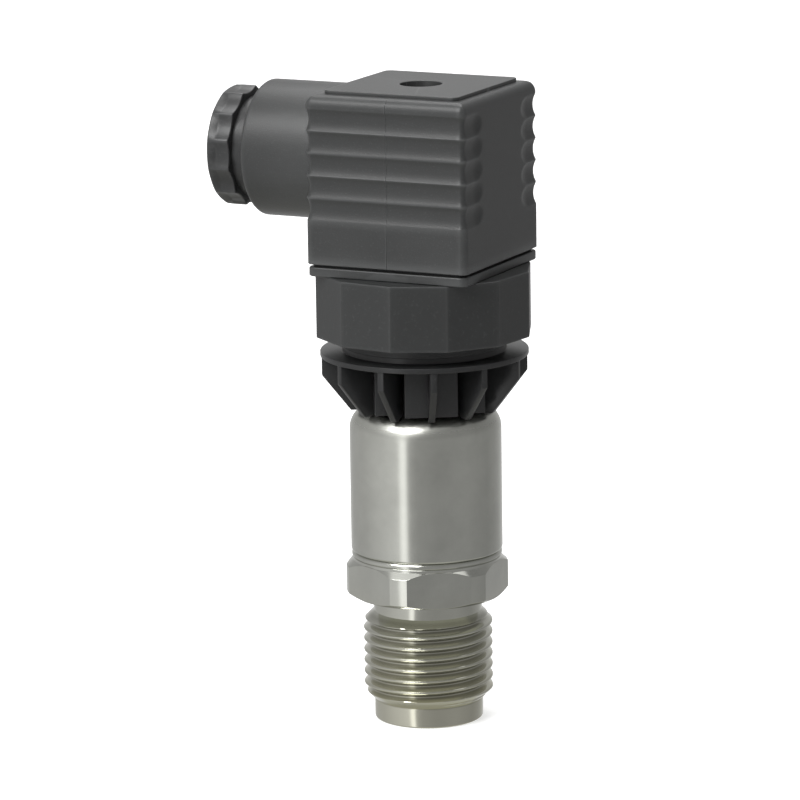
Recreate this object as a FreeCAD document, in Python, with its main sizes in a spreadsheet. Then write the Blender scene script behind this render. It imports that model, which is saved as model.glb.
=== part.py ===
import FreeCAD, Part
import math
import os
import re
import Sketcher

# Pressure transmitter: steel process fitting and can, plastic cooling collar, adapter and
# a square right-angle plug with a cable gland. The sensor axis is Z, the origin is the centre
# of the fitting's end face, +Z points to the plug and the gland points to -X. Millimetres.

SIZES = {
    # process fitting
    "end_radius": 8.8,
    "end_length": 3.2,
    "end_edge": 0.4,
    "port_radius": 3.0,
    "thread_radius": 10.4775,
    "thread_length": 13.1,
    "neck_radius": 8.75,
    "neck_length": 4.3,
    "hex_flats": 24.0,
    "hex_height": 6.3,
    "hex_corner_radius": 13.65,
    "hex_face_radius": 11.9,
    "hex_chamfer_angle": 30.0,
    "hex_turn": -19.4,
    "weld_shoulder_radius": 12.1,
    "weld_shoulder_height": 1.1,
    "weld_shoulder_edge": 0.25,
    "spigot_height": 6.4,
    # measuring cell, its seal and its lock ring
    "cell_radius": 9.0,
    "cell_height": 6.35,
    "cell_gap": 0.25,
    "cell_pocket_depth": 9.9,
    "cell_face_gap": 0.1,
    "diaphragm_radius": 4.5,
    "diaphragm_recess": 0.6,
    "cell_ring_radius": 6.5,
    "cell_ring_width": 2.2,
    "cell_ring_groove_width": 2.6,
    "cell_ring_groove_depth": 1.4,
    "cell_ring_edge": 0.5,
    "lock_ring_radius": 9.15,
    "lock_ring_bore": 7.0,
    "lock_ring_height": 2.4,
    "lock_ring_slot": 2.0,
    # can
    "can_radius": 12.14,
    "can_wall": 0.8,
    "can_length": 23.6,
    "can_bend": 3.6,
    "can_opening_radius": 7.0,
    "can_fit": 0.05,
    # circuit boards and what joins them
    "board_thickness": 1.6,
    "main_board_gap": 0.74,
    "top_board_gap": 0.4,
    "cell_pin_radius": 0.35,
    "cell_pin_circle": 5.2,
    "lead_radius": 0.4,
    "lead_circle": 2.4,
    "lead_stub": 0.6,
    "solder_gap": 0.08,
    "chip_side": 3.4,
    "chip_height": 1.1,
    "chip_circle": 7.2,
    "capacitor_length": 2.0,
    "capacitor_width": 1.2,
    "capacitor_height": 0.9,
    # cooling collar
    "collar_height": 8.45,
    "collar_core_lift": 0.3,
    "collar_seat_radius": 9.0,
    "collar_turn": 30.5,
    "rim_radius": 16.75,
    "rim_thickness": 0.85,
    "rim_edge": 0.2,
    "collar_ring_radius": 13.2,
    "collar_ring_height": 0.9,
    "fin_reach": 16.55,
    "fin_thickness": 1.1,
    "fin_count": 12,
    "fin_straight": 3.05,
    "fin_foot_radius": 12.0,
    "fin_foot_width": 1.4,
    "fin_foot_drop": 0.4,
    "core_half_width": 8.8,
    "core_half_depth": 9.1,
    "nose_half_width": 4.25,
    "nose_reach": 11.6,
    "slot_half_width": 6.4,
    "slot_floor": 7.2,
    "collar_seal_inner": 7.4,
    "collar_seal_outer": 8.3,
    "collar_seal_height": 1.1,
    "seal_side_gap": 0.05,
    # adapter and its nut
    "stem_radius": 5.5,
    "stem_bore": 4.0,
    "stem_length": 14.8,
    "stem_gap": 0.1,
    "stem_nut_flats": 15.0,
    "stem_nut_height": 3.0,
    "adapter_neck_radius": 13.2,
    "adapter_neck_height": 1.7,
    "adapter_sides": 12,
    "adapter_flats": 34.0,
    "adapter_turn": 7.7,
    "adapter_height": 10.6,
    "adapter_edge": 0.25,
    "adapter_floor": 1.6,
    "adapter_well_radius": 12.0,
    "adapter_well_depth": 2.9,
    "adapter_mouth_radius": 14.0,
    # pin carrier, pins and bush
    "carrier_side": 27.8,
    "carrier_corner": 1.3,
    "carrier_thickness": 1.5,
    "carrier_edge": 0.25,
    "carrier_boss_depth": 3.2,
    "carrier_boss_gap": 0.2,
    "platform_side": 20.4,
    "platform_height": 1.6,
    "pin_circle": 9.0,
    "pin_width": 6.3,
    "pin_thickness": 0.8,
    "pin_height": 9.3,
    "pin_gap": 0.05,
    "pin_foot_gap": 0.3,
    "tail_width": 2.0,
    "tail_gap": 0.3,
    "bush_radius": 3.0,
    "bush_length": 6.0,
    "bush_gap": 0.05,
    # profile gasket
    "gasket_thickness": 1.0,
    "gasket_gap": 0.25,
    "gasket_window_gap": 0.2,
    "gasket_corner": 1.0,
    # plug housing
    "plug_side": 28.0,
    "plug_gap": 0.45,
    "plug_height": 27.05,
    "plug_wall": 1.8,
    "plug_roof": 2.4,
    "plug_corner": 1.2,
    "plug_top_edge": 1.8,
    "plug_lip": 0.5,
    "pad_side": 23.4,
    "pad_height": 0.6,
    "pad_corner": 1.2,
    "grip_pitch": 3.58,
    "grip_count": 5,
    "grip_depth": 0.45,
    "grip_half_width": 1.68,
    "grip_overrun": 0.35,
    "grip_top": 3.85,
    "grip_wrap": 2.6,
    "grip_flare": 8.0,
    "screw_well_radius": 3.39,
    "screw_well_depth": 6.3,
    "screw_boss_radius": 4.3,
    "screw_boss_bore": 1.8,
    # gland
    "gland_radius": 11.0,
    "gland_tube_length": 13.9,
    "gland_height": 16.0,
    "gland_edge": 1.3,
    "gland_bore": 8.3,
    "gland_depth": 13.4,
    "wire_hole_radius": 6.0,
    "gland_seal_radius": 8.1,
    "gland_seal_bore": 5.0,
    "gland_seal_length": 6.0,
    "gland_seal_gap": 0.1,
    "thrust_ring_gap": 0.9,
    "thrust_ring_thickness": 1.0,
    "thrust_ring_bore": 5.4,
    "gland_thread_gap": 0.07,
    "nut_stand_off": 2.0,
    "nut_length": 3.85,
    "nut_radius": 9.75,
    "nut_bore": 5.2,
    "nut_edge": 0.4,
    "flute_count": 13,
    "flute_floor_radius": 9.05,
    "flute_radius": 5.4,
    "flute_turn": 81.5,
    # terminal insert and contacts
    "insert_gap": 0.25,
    "insert_lift": 0.2,
    "insert_height": 12.0,
    "insert_floor": 2.0,
    "insert_corner": 1.0,
    "insert_bore": 1.9,
    "pocket_gap": 0.1,
    "pocket_side_gap": 0.05,
    "clamp_inner": 4.4,
    "clamp_outer": 10.8,
    "clamp_half_width": 3.7,
    "clamp_height": 7.5,
    "clamp_pin_gap": 0.1,
    "clamp_screw_circle": 6.4,
    "clamp_screw_gap": 0.05,
    "clamp_screw_length": 6.5,
    "clamp_head_radius": 2.0,
    "clamp_head_height": 1.6,
    # centre screw and washer
    "screw_radius": 1.5,
    "screw_head_radius": 2.75,
    "screw_head_height": 2.0,
    "screw_tip_gap": 0.4,
    "screw_slot_width": 0.8,
    "screw_slot_depth": 1.0,
    "screw_edge": 0.3,
    "washer_radius": 3.15,
    "washer_thickness": 0.6,
    "washer_gap": 0.08,
}

# Heights along Z and other values that follow from the sizes above.
LEVELS = {
    "thread_top": "end_length + thread_length",
    "hex_bottom": "thread_top + neck_length",
    "hex_top": "hex_bottom + hex_height",
    "hex_chamfer": "(hex_corner_radius - hex_face_radius) * tan(hex_chamfer_angle)",
    "can_bottom": "hex_top + weld_shoulder_height",
    "can_top": "can_bottom + can_length",
    "can_roof": "can_top - can_wall",
    "can_bore": "can_radius - can_wall",
    "spigot_radius": "can_bore - can_fit",
    "main_board_radius": "can_bore - main_board_gap",
    "spigot_top": "can_bottom + spigot_height",
    "cell_pocket_floor": "spigot_top - cell_pocket_depth",
    "cell_pocket_radius": "cell_radius + cell_gap",
    "cell_bottom": "cell_pocket_floor + cell_face_gap",
    "cell_top": "cell_bottom + cell_height",
    "board_top": "spigot_top + board_thickness",
    "core_bottom": "can_top + collar_core_lift",
    "fin_foot": "can_top - fin_foot_drop",
    "rim_bottom": "can_top + collar_height",
    "rim_top": "rim_bottom + rim_thickness",
    "collar_top": "rim_top + collar_ring_height",
    "adapter_bottom": "collar_top + adapter_neck_height",
    "adapter_top": "adapter_bottom + adapter_height",
    "well_floor": "adapter_bottom + adapter_floor",
    "ledge": "well_floor + adapter_well_depth",
    "top_board_top": "ledge + board_thickness",
    "top_board_radius": "adapter_mouth_radius - top_board_gap",
    "carrier_top": "adapter_top + carrier_thickness",
    "carrier_boss_bottom": "adapter_top - carrier_boss_depth",
    "platform_top": "carrier_top + platform_height",
    "bush_bottom": "platform_top - bush_length",
    "pin_top": "platform_top + pin_height",
    "gasket_top": "carrier_top + gasket_thickness",
    "plug_bottom": "carrier_top + plug_gap",
    "plug_shoulder": "plug_bottom + plug_height",
    "plug_top": "plug_shoulder + pad_height",
    "cavity_half": "plug_side / 2 - plug_wall",
    "cavity_roof": "plug_shoulder - plug_roof",
    "insert_bottom": "platform_top + insert_lift",
    "insert_top": "insert_bottom + insert_height",
    "clamp_bottom": "insert_bottom + insert_floor",
    "clamp_top": "clamp_bottom + clamp_height",
    "gasket_side": "plug_side - 2 * (plug_lip + gasket_gap)",
    "gasket_window": "platform_side + 2 * gasket_window_gap",
    "gland_axis": "plug_bottom + gland_height",
    "gland_reach": "plug_side / 2 + gland_tube_length",
    "gland_seat": "gland_reach - gland_depth",
    "boss_bottom": "insert_top + insert_lift",
    "seal_end": "gland_seat + gland_seal_gap + gland_seal_length",
    "thrust_start": "seal_end + thrust_ring_gap",
    "thrust_end": "thrust_start + thrust_ring_thickness",
    "nut_start": "gland_reach + nut_stand_off",
    "washer_seat": "plug_top - screw_well_depth",
    "screw_seat": "washer_seat + washer_thickness",
    "screw_tip": "bush_bottom + screw_tip_gap",
}

QUARTERS = (0, 90, 180, 270)

doc = FreeCAD.newDocument("PressureTransmitter")
sheet = doc.addObject("Spreadsheet::Sheet", "Sheet")
nodes = []


def tied(text):
    """The expression with each size's name pointing at its cell in the sheet."""
    known = {**SIZES, **LEVELS}
    return re.sub(r"[a-z][a-z_]+", lambda word: ("Sheet." + word[0]) if word[0] in known else word[0], text)


def fill_sheet():
    rows = [(name, str(value)) for name, value in SIZES.items()]
    rows += [(name, "=" + formula) for name, formula in LEVELS.items()]
    for row, (name, content) in enumerate(rows, 1):
        sheet.set(f"A{row}", name.replace("_", " "))
        sheet.set(f"B{row}", content)
        sheet.setAlias(f"B{row}", name)
    doc.recompute()


def number(text):
    return float(sheet.evalExpression(tied(text)))


def bind(thing, **sizes):
    """Ties each named property of the thing to an expression."""
    for name, text in sizes.items():
        thing.setExpression(name.replace("__", "."), tied(text))
    return thing


# ---- sketches and PartDesign features

def new_body(label):
    body = doc.addObject("PartDesign::Body", label)
    nodes.append(body)
    return body


def datum(body, role):
    return next(feature for feature in body.Origin.OriginFeatures if feature.Role == role)


def new_sketch(body, plane, offset="0"):
    sketch = body.newObject("Sketcher::SketchObject", body.Name + "Sketch")
    sketch.AttachmentSupport = [(datum(body, plane), "")]
    sketch.MapMode = "FlatFace"
    return bind(sketch, AttachmentOffset__Base__z=offset)


def hold(sketch, kind, places, text):
    """One dimension of the sketch, tied to an expression."""
    index = sketch.addConstraint(Sketcher.Constraint(kind, *places, number(text)))
    sketch.setExpression(f"Constraints[{index}]", tied(text))


def outline(sketch, corners):
    """A closed outline of straight sides through corners given as pairs of expressions."""
    points = [FreeCAD.Vector(number(across), number(up), 0) for across, up in corners]
    first = sketch.GeometryCount
    count = len(points)
    for index, point in enumerate(points):
        sketch.addGeometry(Part.LineSegment(point, points[(index + 1) % count]), False)
    for index in range(count):
        following = first + (index + 1) % count
        sketch.addConstraint(Sketcher.Constraint("Coincident", first + index, 2, following, 1))
    for index, (across, up) in enumerate(corners):
        hold(sketch, "DistanceX", (-1, 1, first + index, 1), across)
        hold(sketch, "DistanceY", (-1, 1, first + index, 1), up)


def rectangle(sketch, left, right, low, high):
    outline(sketch, [(left, low), (right, low), (right, high), (left, high)])


def square(sketch, side):
    half = f"({side}) / 2"
    rectangle(sketch, "-" + half, half, "-" + half, half)


def regular_polygon(sketch, sides, flats, turn):
    """A polygon with one corner at the turn angle, sized across its flats."""
    radius = f"({flats}) / 2 / cos(180 / {sides})"
    angles = [f"({turn}) + {step} * 360 / {sides}" for step in range(int(number(sides)))]
    outline(sketch, [(f"{radius} * cos({angle})", f"{radius} * sin({angle})") for angle in angles])


def circle(sketch, across, up, radius):
    centre = FreeCAD.Vector(number(across), number(up), 0)
    index = sketch.addGeometry(Part.Circle(centre, FreeCAD.Vector(0, 0, 1), number(radius)), False)
    hold(sketch, "Radius", (index,), radius)
    hold(sketch, "DistanceX", (-1, 1, index, 3), across)
    hold(sketch, "DistanceY", (-1, 1, index, 3), up)


def extrude(body, kind, sketch, length, **settings):
    feature = body.newObject("PartDesign::" + kind, body.Name + kind)
    feature.Profile = sketch
    bind(feature, Length=length)
    for name, value in settings.items():
        setattr(feature, name, value)
    return feature


def pad(body, sketch, length, **settings):
    return extrude(body, "Pad", sketch, length, **settings)


def pocket(body, sketch, length, **settings):
    """A cut towards the sketch's own normal, unless Reversed says otherwise."""
    settings.setdefault("Reversed", True)
    return extrude(body, "Pocket", sketch, length, **settings)


def spin(body, kind, corners, axis="V_Axis", plane="XZ_Plane"):
    """The outline turned about an axis of its sketch, as a Revolution or a Groove."""
    sketch = new_sketch(body, plane)
    outline(sketch, corners)
    feature = body.newObject("PartDesign::" + kind, body.Name + kind)
    feature.Profile = sketch
    feature.ReferenceAxis = (sketch, [axis])
    feature.Angle = 360
    return feature


def repeat_round(body, features, count, role="Z_Axis"):
    pattern = body.newObject("PartDesign::PolarPattern", body.Name + "Pattern")
    pattern.Originals = features
    pattern.Axis = (datum(body, role), [""])
    pattern.Angle = 360
    bind(pattern, Occurrences=count)
    body.Tip = pattern
    return pattern


def soften(body, kind, wanted, size):
    """Fillet or Chamfer on the edges of the body's last feature that the test picks."""
    doc.recompute()
    base = body.Tip
    picked = [f"Edge{index}" for index, edge in enumerate(base.Shape.Edges, 1) if wanted(edge)]
    if not picked:
        raise RuntimeError(f"no edge to soften on {body.Label}")
    feature = body.newObject("PartDesign::" + kind, body.Name + kind)
    feature.Base = (base, picked)
    bind(feature, **{"Radius" if kind == "Fillet" else "Size": size})
    return feature


def near(value, text):
    return abs(value - number(text)) < 1e-4


def ring_edge(radius, height):
    """Picks the circle about Z with this radius at this height."""
    def wanted(edge):
        curve = edge.Curve
        if not isinstance(curve, Part.Circle) or abs(curve.Axis.z) < 0.999:
            return False
        return near(curve.Radius, radius) and near(curve.Center.z, height) and curve.Center.x ** 2 < 1e-8
    return wanted


def upright_corner(half):
    """Picks the upright edges at the corners of a square of this half side."""
    def wanted(edge):
        box = edge.BoundBox
        upright = box.XLength < 1e-4 and box.YLength < 1e-4
        return upright and near(abs(box.XMin), half) and near(abs(box.YMin), half)
    return wanted


# ---- plain solids

def block(name, low, size):
    """A box from its low corner and its size, each three expressions."""
    box = doc.addObject("Part::Box", name)
    bind(box, Length=size[0], Width=size[1], Height=size[2])
    return bind(box, Placement__Base__x=low[0], Placement__Base__y=low[1], Placement__Base__z=low[2])


def rod(name, radius, across, low, length, along="0"):
    """A round bar that stands on (across, along, low)."""
    bar = doc.addObject("Part::Cylinder", name)
    bind(bar, Radius=radius, Height=length)
    return bind(bar, Placement__Base__x=across, Placement__Base__y=along, Placement__Base__z=low)


def joined(label, pieces):
    whole = doc.addObject("Part::MultiFuse", label)
    whole.Shapes = pieces
    return whole


def carved(label, base, tools):
    whole = doc.addObject("Part::Cut", label)
    whole.Base = base
    whole.Tool = tools[0] if len(tools) == 1 else joined(label + "Tools", tools)
    return whole


def grouped(label, pieces):
    """Identical solids of one node, kept apart."""
    group = doc.addObject("Part::Compound", label)
    group.Links = pieces
    return group


def turned_about_axis(thing, degrees):
    thing.Placement = FreeCAD.Placement(FreeCAD.Vector(), FreeCAD.Rotation(FreeCAD.Vector(0, 0, 1), degrees))
    return thing


def as_node(thing):
    nodes.append(thing)
    return thing


def ring(label, inner, outer, low, height):
    """A plain flat ring about Z."""
    body = new_body(label)
    high = f"{low} + {height}"
    spin(body, "Revolution", [(inner, low), (outer, low), (outer, high), (inner, high)])
    return body


# ---- sensor side

def make_process_fitting():
    """Turned from hexagon bar: plain end, thread, neck, hexagon, weld shoulder and cell pocket."""
    body = new_body("process_fitting")
    spin(body, "Revolution", [
        ("0", "0"), ("end_radius", "0"), ("end_radius", "end_length"),
        ("thread_radius", "end_length + thread_radius - end_radius"), ("thread_radius", "thread_top"),
        ("neck_radius", "thread_top + thread_radius - neck_radius"), ("neck_radius", "hex_bottom"),
        ("hex_face_radius", "hex_bottom"), ("hex_face_radius", "hex_top"),
        ("weld_shoulder_radius", "hex_top"), ("weld_shoulder_radius", "can_bottom"),
        ("spigot_radius", "can_bottom"), ("spigot_radius", "spigot_top"), ("0", "spigot_top")])
    hexagon = new_sketch(body, "XY_Plane", "hex_bottom")
    regular_polygon(hexagon, "6", "hex_flats", "hex_turn")
    pad(body, hexagon, "hex_height")
    beyond = "hex_flats"
    for face, slope in (("hex_bottom", "hex_bottom + hex_chamfer"), ("hex_top", "hex_top - hex_chamfer")):
        spin(body, "Groove", [("hex_face_radius", face), ("hex_corner_radius", slope), (beyond, slope),
                              (beyond, face)])
    spin(body, "Groove", [("hex_corner_radius", "hex_bottom"), (beyond, "hex_bottom"), (beyond, "hex_top"),
                          ("hex_corner_radius", "hex_top")])
    inner, outer = (f"cell_ring_radius {sign} cell_ring_groove_width / 2" for sign in "-+")
    ring_floor = "cell_pocket_floor - cell_ring_groove_depth"
    spin(body, "Groove", [
        ("0", "0"), ("port_radius", "0"), ("port_radius", "cell_pocket_floor"), (inner, "cell_pocket_floor"),
        (inner, ring_floor), (outer, ring_floor), (outer, "cell_pocket_floor"),
        ("cell_pocket_radius", "cell_pocket_floor"), ("cell_pocket_radius", "spigot_top"), ("0", "spigot_top")])
    soften(body, "Chamfer", ring_edge("end_radius", "0"), "end_edge")
    soften(body, "Chamfer", ring_edge("weld_shoulder_radius", "can_bottom"), "weld_shoulder_edge")


def make_cell_seal():
    """O-ring squeezed between the groove's floor and the cell."""
    body = ring("cell_seal", "cell_ring_radius - cell_ring_width / 2", "cell_ring_radius + cell_ring_width / 2",
                "cell_pocket_floor - cell_ring_groove_depth", "(cell_ring_groove_depth + cell_face_gap)")
    soften(body, "Chamfer", lambda edge: isinstance(edge.Curve, Part.Circle), "cell_ring_edge")


def make_measuring_cell():
    """Ceramic disc with a thin diaphragm ground over the port."""
    body = new_body("measuring_cell")
    spin(body, "Revolution", [
        ("0", "cell_bottom + diaphragm_recess"), ("diaphragm_radius", "cell_bottom + diaphragm_recess"),
        ("diaphragm_radius", "cell_bottom"), ("cell_radius", "cell_bottom"), ("cell_radius", "cell_top"),
        ("0", "cell_top")])


def make_lock_ring():
    """Threaded ring that holds the cell down, with two slots for its key."""
    body = new_body("cell_lock_ring")
    top = "cell_top + lock_ring_height"
    spin(body, "Revolution", [("lock_ring_bore", "cell_top"), ("lock_ring_radius", "cell_top"),
                              ("lock_ring_radius", top), ("lock_ring_bore", top)])
    slot = new_sketch(body, "XY_Plane", top)
    half = "lock_ring_slot / 2"
    rectangle(slot, "-lock_ring_radius", "lock_ring_radius", "-" + half, half)
    pocket(body, slot, "lock_ring_height / 2", Reversed=False)


def make_can():
    """Deep-drawn tube, turned in at its top round the stem's opening."""
    body = new_body("sensor_can")
    spin(body, "Revolution", [
        ("can_bore", "can_bottom"), ("can_radius", "can_bottom"), ("can_radius", "can_top"),
        ("can_opening_radius", "can_top"), ("can_opening_radius", "can_roof"), ("can_bore", "can_roof")])
    soften(body, "Fillet", ring_edge("can_radius", "can_top"), "can_bend")
    soften(body, "Fillet", ring_edge("can_bore", "can_roof"), "can_bend - can_wall")
    soften(body, "Chamfer", ring_edge("can_radius", "can_bottom"), "can_wall / 2")


def board(label, low, radius, holes):
    """A round board with round holes, given as (circle radius, angles, hole radius)."""
    body = new_body(label)
    sketch = new_sketch(body, "XY_Plane", low)
    circle(sketch, "0", "0", radius)
    for reach, angles, hole in holes:
        for angle in angles:
            circle(sketch, f"{reach} * cos({angle})", f"{reach} * sin({angle})", hole)
    pad(body, sketch, "board_thickness")
    return body


def make_main_board():
    board("main_board", "spigot_top", "main_board_radius", [
        ("cell_pin_circle", (45, 135, 225, 315), "cell_pin_radius + solder_gap"),
        ("lead_circle", QUARTERS, "lead_radius + solder_gap")])


def make_top_board():
    """Upper board, with a slot for each pin's tail."""
    body = board("top_board", "ledge", "top_board_radius", [("lead_circle", QUARTERS, "lead_radius + solder_gap")])
    slot = new_sketch(body, "XY_Plane", "ledge")
    half = "(pin_thickness / 2 + tail_gap)"
    rectangle(slot, f"pin_circle - {half}", f"pin_circle + {half}", "-tail_width / 2 - tail_gap",
              "tail_width / 2 + tail_gap")
    repeat_round(body, [pocket(body, slot, "board_thickness")], "4")


def make_cell_pins():
    pins = []
    for angle in (45, 135, 225, 315):
        pins.append(rod(f"CellPin{angle}", "cell_pin_radius", f"cell_pin_circle * cos({angle})", "cell_top",
                        "board_top - cell_top + lead_stub", f"cell_pin_circle * sin({angle})"))
    as_node(grouped("cell_pins", pins))


def make_leads():
    """Stiff wires from the main board up through the stem to the top board."""
    for index, angle in enumerate(QUARTERS, 1):
        as_node(rod(f"lead_wire_{index}", "lead_radius", f"lead_circle * cos({angle})", "spigot_top - lead_stub",
                    "top_board_top - spigot_top + 2 * lead_stub", f"lead_circle * sin({angle})"))


def make_board_parts():
    half = "chip_side / 2"
    as_node(block("amplifier_chip", (f"chip_circle - {half}", "-" + half, "board_top"),
                  ("chip_side", "chip_side", "chip_height")))
    capacitors = []
    for index, angle in enumerate((90, 135, 180, 225, 270)):
        capacitor = block(f"Capacitor{index}", (f"chip_circle * cos({angle}) - capacitor_length / 2",
                                                f"chip_circle * sin({angle}) - capacitor_width / 2", "board_top"),
                          ("capacitor_length", "capacitor_width", "capacitor_height"))
        capacitors.append(capacitor)
    as_node(grouped("capacitors", capacitors))


def make_cooling_collar():
    """Moulded collar: rim disc, stepped core and thin radial fins that taper to the can."""
    body = new_body("cooling_collar")
    bind(body, Placement__Rotation__Angle="collar_turn")
    foot = "can_roof + can_wall / 4"
    spin(body, "Revolution", [
        ("0", foot), ("can_opening_radius - can_fit", foot), ("can_opening_radius - can_fit", "can_top"),
        ("collar_seat_radius", "can_top"), ("collar_seat_radius", "rim_bottom"), ("rim_radius", "rim_bottom"),
        ("rim_radius", "rim_top"), ("collar_ring_radius", "rim_top"), ("collar_ring_radius", "collar_top"),
        ("0", "collar_top")])
    for half_width, reach in (("core_half_width", "core_half_depth"), ("nose_half_width", "nose_reach")):
        core = new_sketch(body, "XY_Plane", "core_bottom")
        rectangle(core, "-" + half_width, half_width, "-" + reach, reach)
        pad(body, core, "rim_bottom - core_bottom")
    slots = new_sketch(body, "XY_Plane", "can_top")
    for left, right in (("nose_half_width", "slot_half_width"), ("-slot_half_width", "-nose_half_width")):
        rectangle(slots, left, right, "slot_floor", "nose_reach")
        rectangle(slots, left, right, "-nose_reach", "-slot_floor")
    pocket(body, slots, "rim_bottom - can_top")
    fin = new_sketch(body, "XZ_Plane")
    outline(fin, [("stem_radius", "core_bottom"), ("collar_seat_radius", "core_bottom"),
                  ("fin_foot_radius - fin_foot_width", "fin_foot"), ("fin_foot_radius", "fin_foot"),
                  ("fin_reach", "rim_bottom - fin_straight"), ("fin_reach", "rim_bottom"),
                  ("stem_radius", "rim_bottom")])
    repeat_round(body, [pad(body, fin, "fin_thickness", Midplane=True)], "fin_count")
    bore = new_sketch(body, "XY_Plane", foot)
    circle(bore, "0", "0", "stem_radius + stem_gap")
    pocket(body, bore, "collar_top - can_roof")
    spin(body, "Groove", [
        ("collar_seal_inner - seal_side_gap", "can_top"), ("collar_seal_outer + seal_side_gap", "can_top"),
        ("collar_seal_outer + seal_side_gap", "can_top + collar_seal_height"),
        ("collar_seal_inner - seal_side_gap", "can_top + collar_seal_height")])
    soften(body, "Chamfer", ring_edge("rim_radius", "rim_top"), "rim_edge")


def make_collar_seal():
    ring("collar_seal", "collar_seal_inner", "collar_seal_outer", "can_top", "collar_seal_height")


def make_stem_nut():
    """Hexagon nut inside the can that draws the adapter and the collar down."""
    body = new_body("stem_nut")
    sketch = new_sketch(body, "XY_Plane", "can_roof - stem_nut_height")
    regular_polygon(sketch, "6", "stem_nut_flats", "0")
    circle(sketch, "0", "0", "stem_radius + can_fit")
    pad(body, sketch, "stem_nut_height")


def make_adapter():
    """Twelve-sided cup with a hollow stem that passes through the collar into the can."""
    body = new_body("adapter_body")
    sides = new_sketch(body, "XY_Plane", "adapter_bottom")
    regular_polygon(sides, "adapter_sides", "adapter_flats", "adapter_turn")
    pad(body, sides, "adapter_height")
    soften(body, "Chamfer", lambda edge: edge.BoundBox.ZLength > number("adapter_height") - 1e-4, "adapter_edge")
    spin(body, "Revolution", [
        ("0", "collar_top - stem_length"), ("stem_radius", "collar_top - stem_length"),
        ("stem_radius", "collar_top"), ("adapter_neck_radius", "collar_top"),
        ("adapter_neck_radius", "adapter_bottom"), ("0", "adapter_bottom")])
    spin(body, "Groove", [
        ("0", "collar_top - stem_length"), ("stem_bore", "collar_top - stem_length"), ("stem_bore", "well_floor"),
        ("adapter_well_radius", "well_floor"), ("adapter_well_radius", "ledge"),
        ("adapter_mouth_radius", "ledge"), ("adapter_mouth_radius", "adapter_top"), ("0", "adapter_top")])


def make_pin_carrier():
    """Square plate with a platform for the pins on top and a locating boss below."""
    body = new_body("pin_carrier")
    plate = new_sketch(body, "XY_Plane", "adapter_top")
    square(plate, "carrier_side")
    pad(body, plate, "carrier_thickness")
    soften(body, "Fillet", upright_corner("carrier_side / 2"), "carrier_corner")
    platform = new_sketch(body, "XY_Plane", "carrier_top")
    square(platform, "platform_side")
    pad(body, platform, "platform_height")
    boss = new_sketch(body, "XY_Plane", "adapter_top")
    circle(boss, "0", "0", "adapter_mouth_radius - carrier_boss_gap")
    pad(body, boss, "carrier_boss_depth", Reversed=True)
    slot = new_sketch(body, "XY_Plane", "carrier_boss_bottom")
    half = "(pin_thickness / 2 + pin_gap)"
    rectangle(slot, f"pin_circle - {half}", f"pin_circle + {half}", "-pin_width / 2 - pin_gap",
              "pin_width / 2 + pin_gap")
    repeat_round(body, [pocket(body, slot, "platform_top - carrier_boss_bottom")], "4")
    hole = new_sketch(body, "XY_Plane", "bush_bottom")
    circle(hole, "0", "0", "bush_radius + bush_gap")
    pocket(body, hole, "bush_length")

    def plate_rim(edge):
        box = edge.BoundBox
        at_top = near(box.ZMin, "carrier_top") and near(box.ZMax, "carrier_top")
        return at_top and max(box.XMax, box.YMax, -box.XMin, -box.YMin) > number("platform_side / 2 + 1")
    soften(body, "Chamfer", plate_rim, "carrier_edge")


def make_pins():
    """Flat blades that stand through the carrier, each with a narrow tail in the top board."""
    foot = "top_board_top + pin_foot_gap"
    across = "pin_circle - pin_thickness / 2"
    for index, angle in enumerate(QUARTERS[:3] + QUARTERS[3:], 1):
        label = "earth_pin" if index == 4 else f"contact_pin_{index}"
        blade = block(f"Blade{index}", (across, "-pin_width / 2", foot),
                      ("pin_thickness", "pin_width", f"pin_top - ({foot})"))
        tail = block(f"Tail{index}", (across, "-tail_width / 2", "ledge - lead_stub"),
                     ("pin_thickness", "tail_width", f"{foot} - ledge + lead_stub"))
        as_node(turned_about_axis(joined(label, [blade, tail]), angle))


def make_bush():
    """Brass bush for the centre screw, with a groove that keys it in the plastic."""
    body = new_body("screw_bush")
    spin(body, "Revolution", [
        ("screw_radius + bush_gap", "bush_bottom"), ("bush_radius", "bush_bottom"),
        ("bush_radius", "bush_bottom + bush_length * 0.4"), ("bush_radius - 0.4", "bush_bottom + bush_length * 0.4"),
        ("bush_radius - 0.4", "bush_bottom + bush_length * 0.6"), ("bush_radius", "bush_bottom + bush_length * 0.6"),
        ("bush_radius", "platform_top"), ("screw_radius + bush_gap", "platform_top")])


def make_profile_gasket():
    body = new_body("profile_gasket")
    outer = new_sketch(body, "XY_Plane", "carrier_top")
    square(outer, "gasket_side")
    square(outer, "gasket_window")
    pad(body, outer, "gasket_thickness")
    soften(body, "Fillet", upright_corner("gasket_side / 2"), "gasket_corner")


# ---- plug

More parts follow.
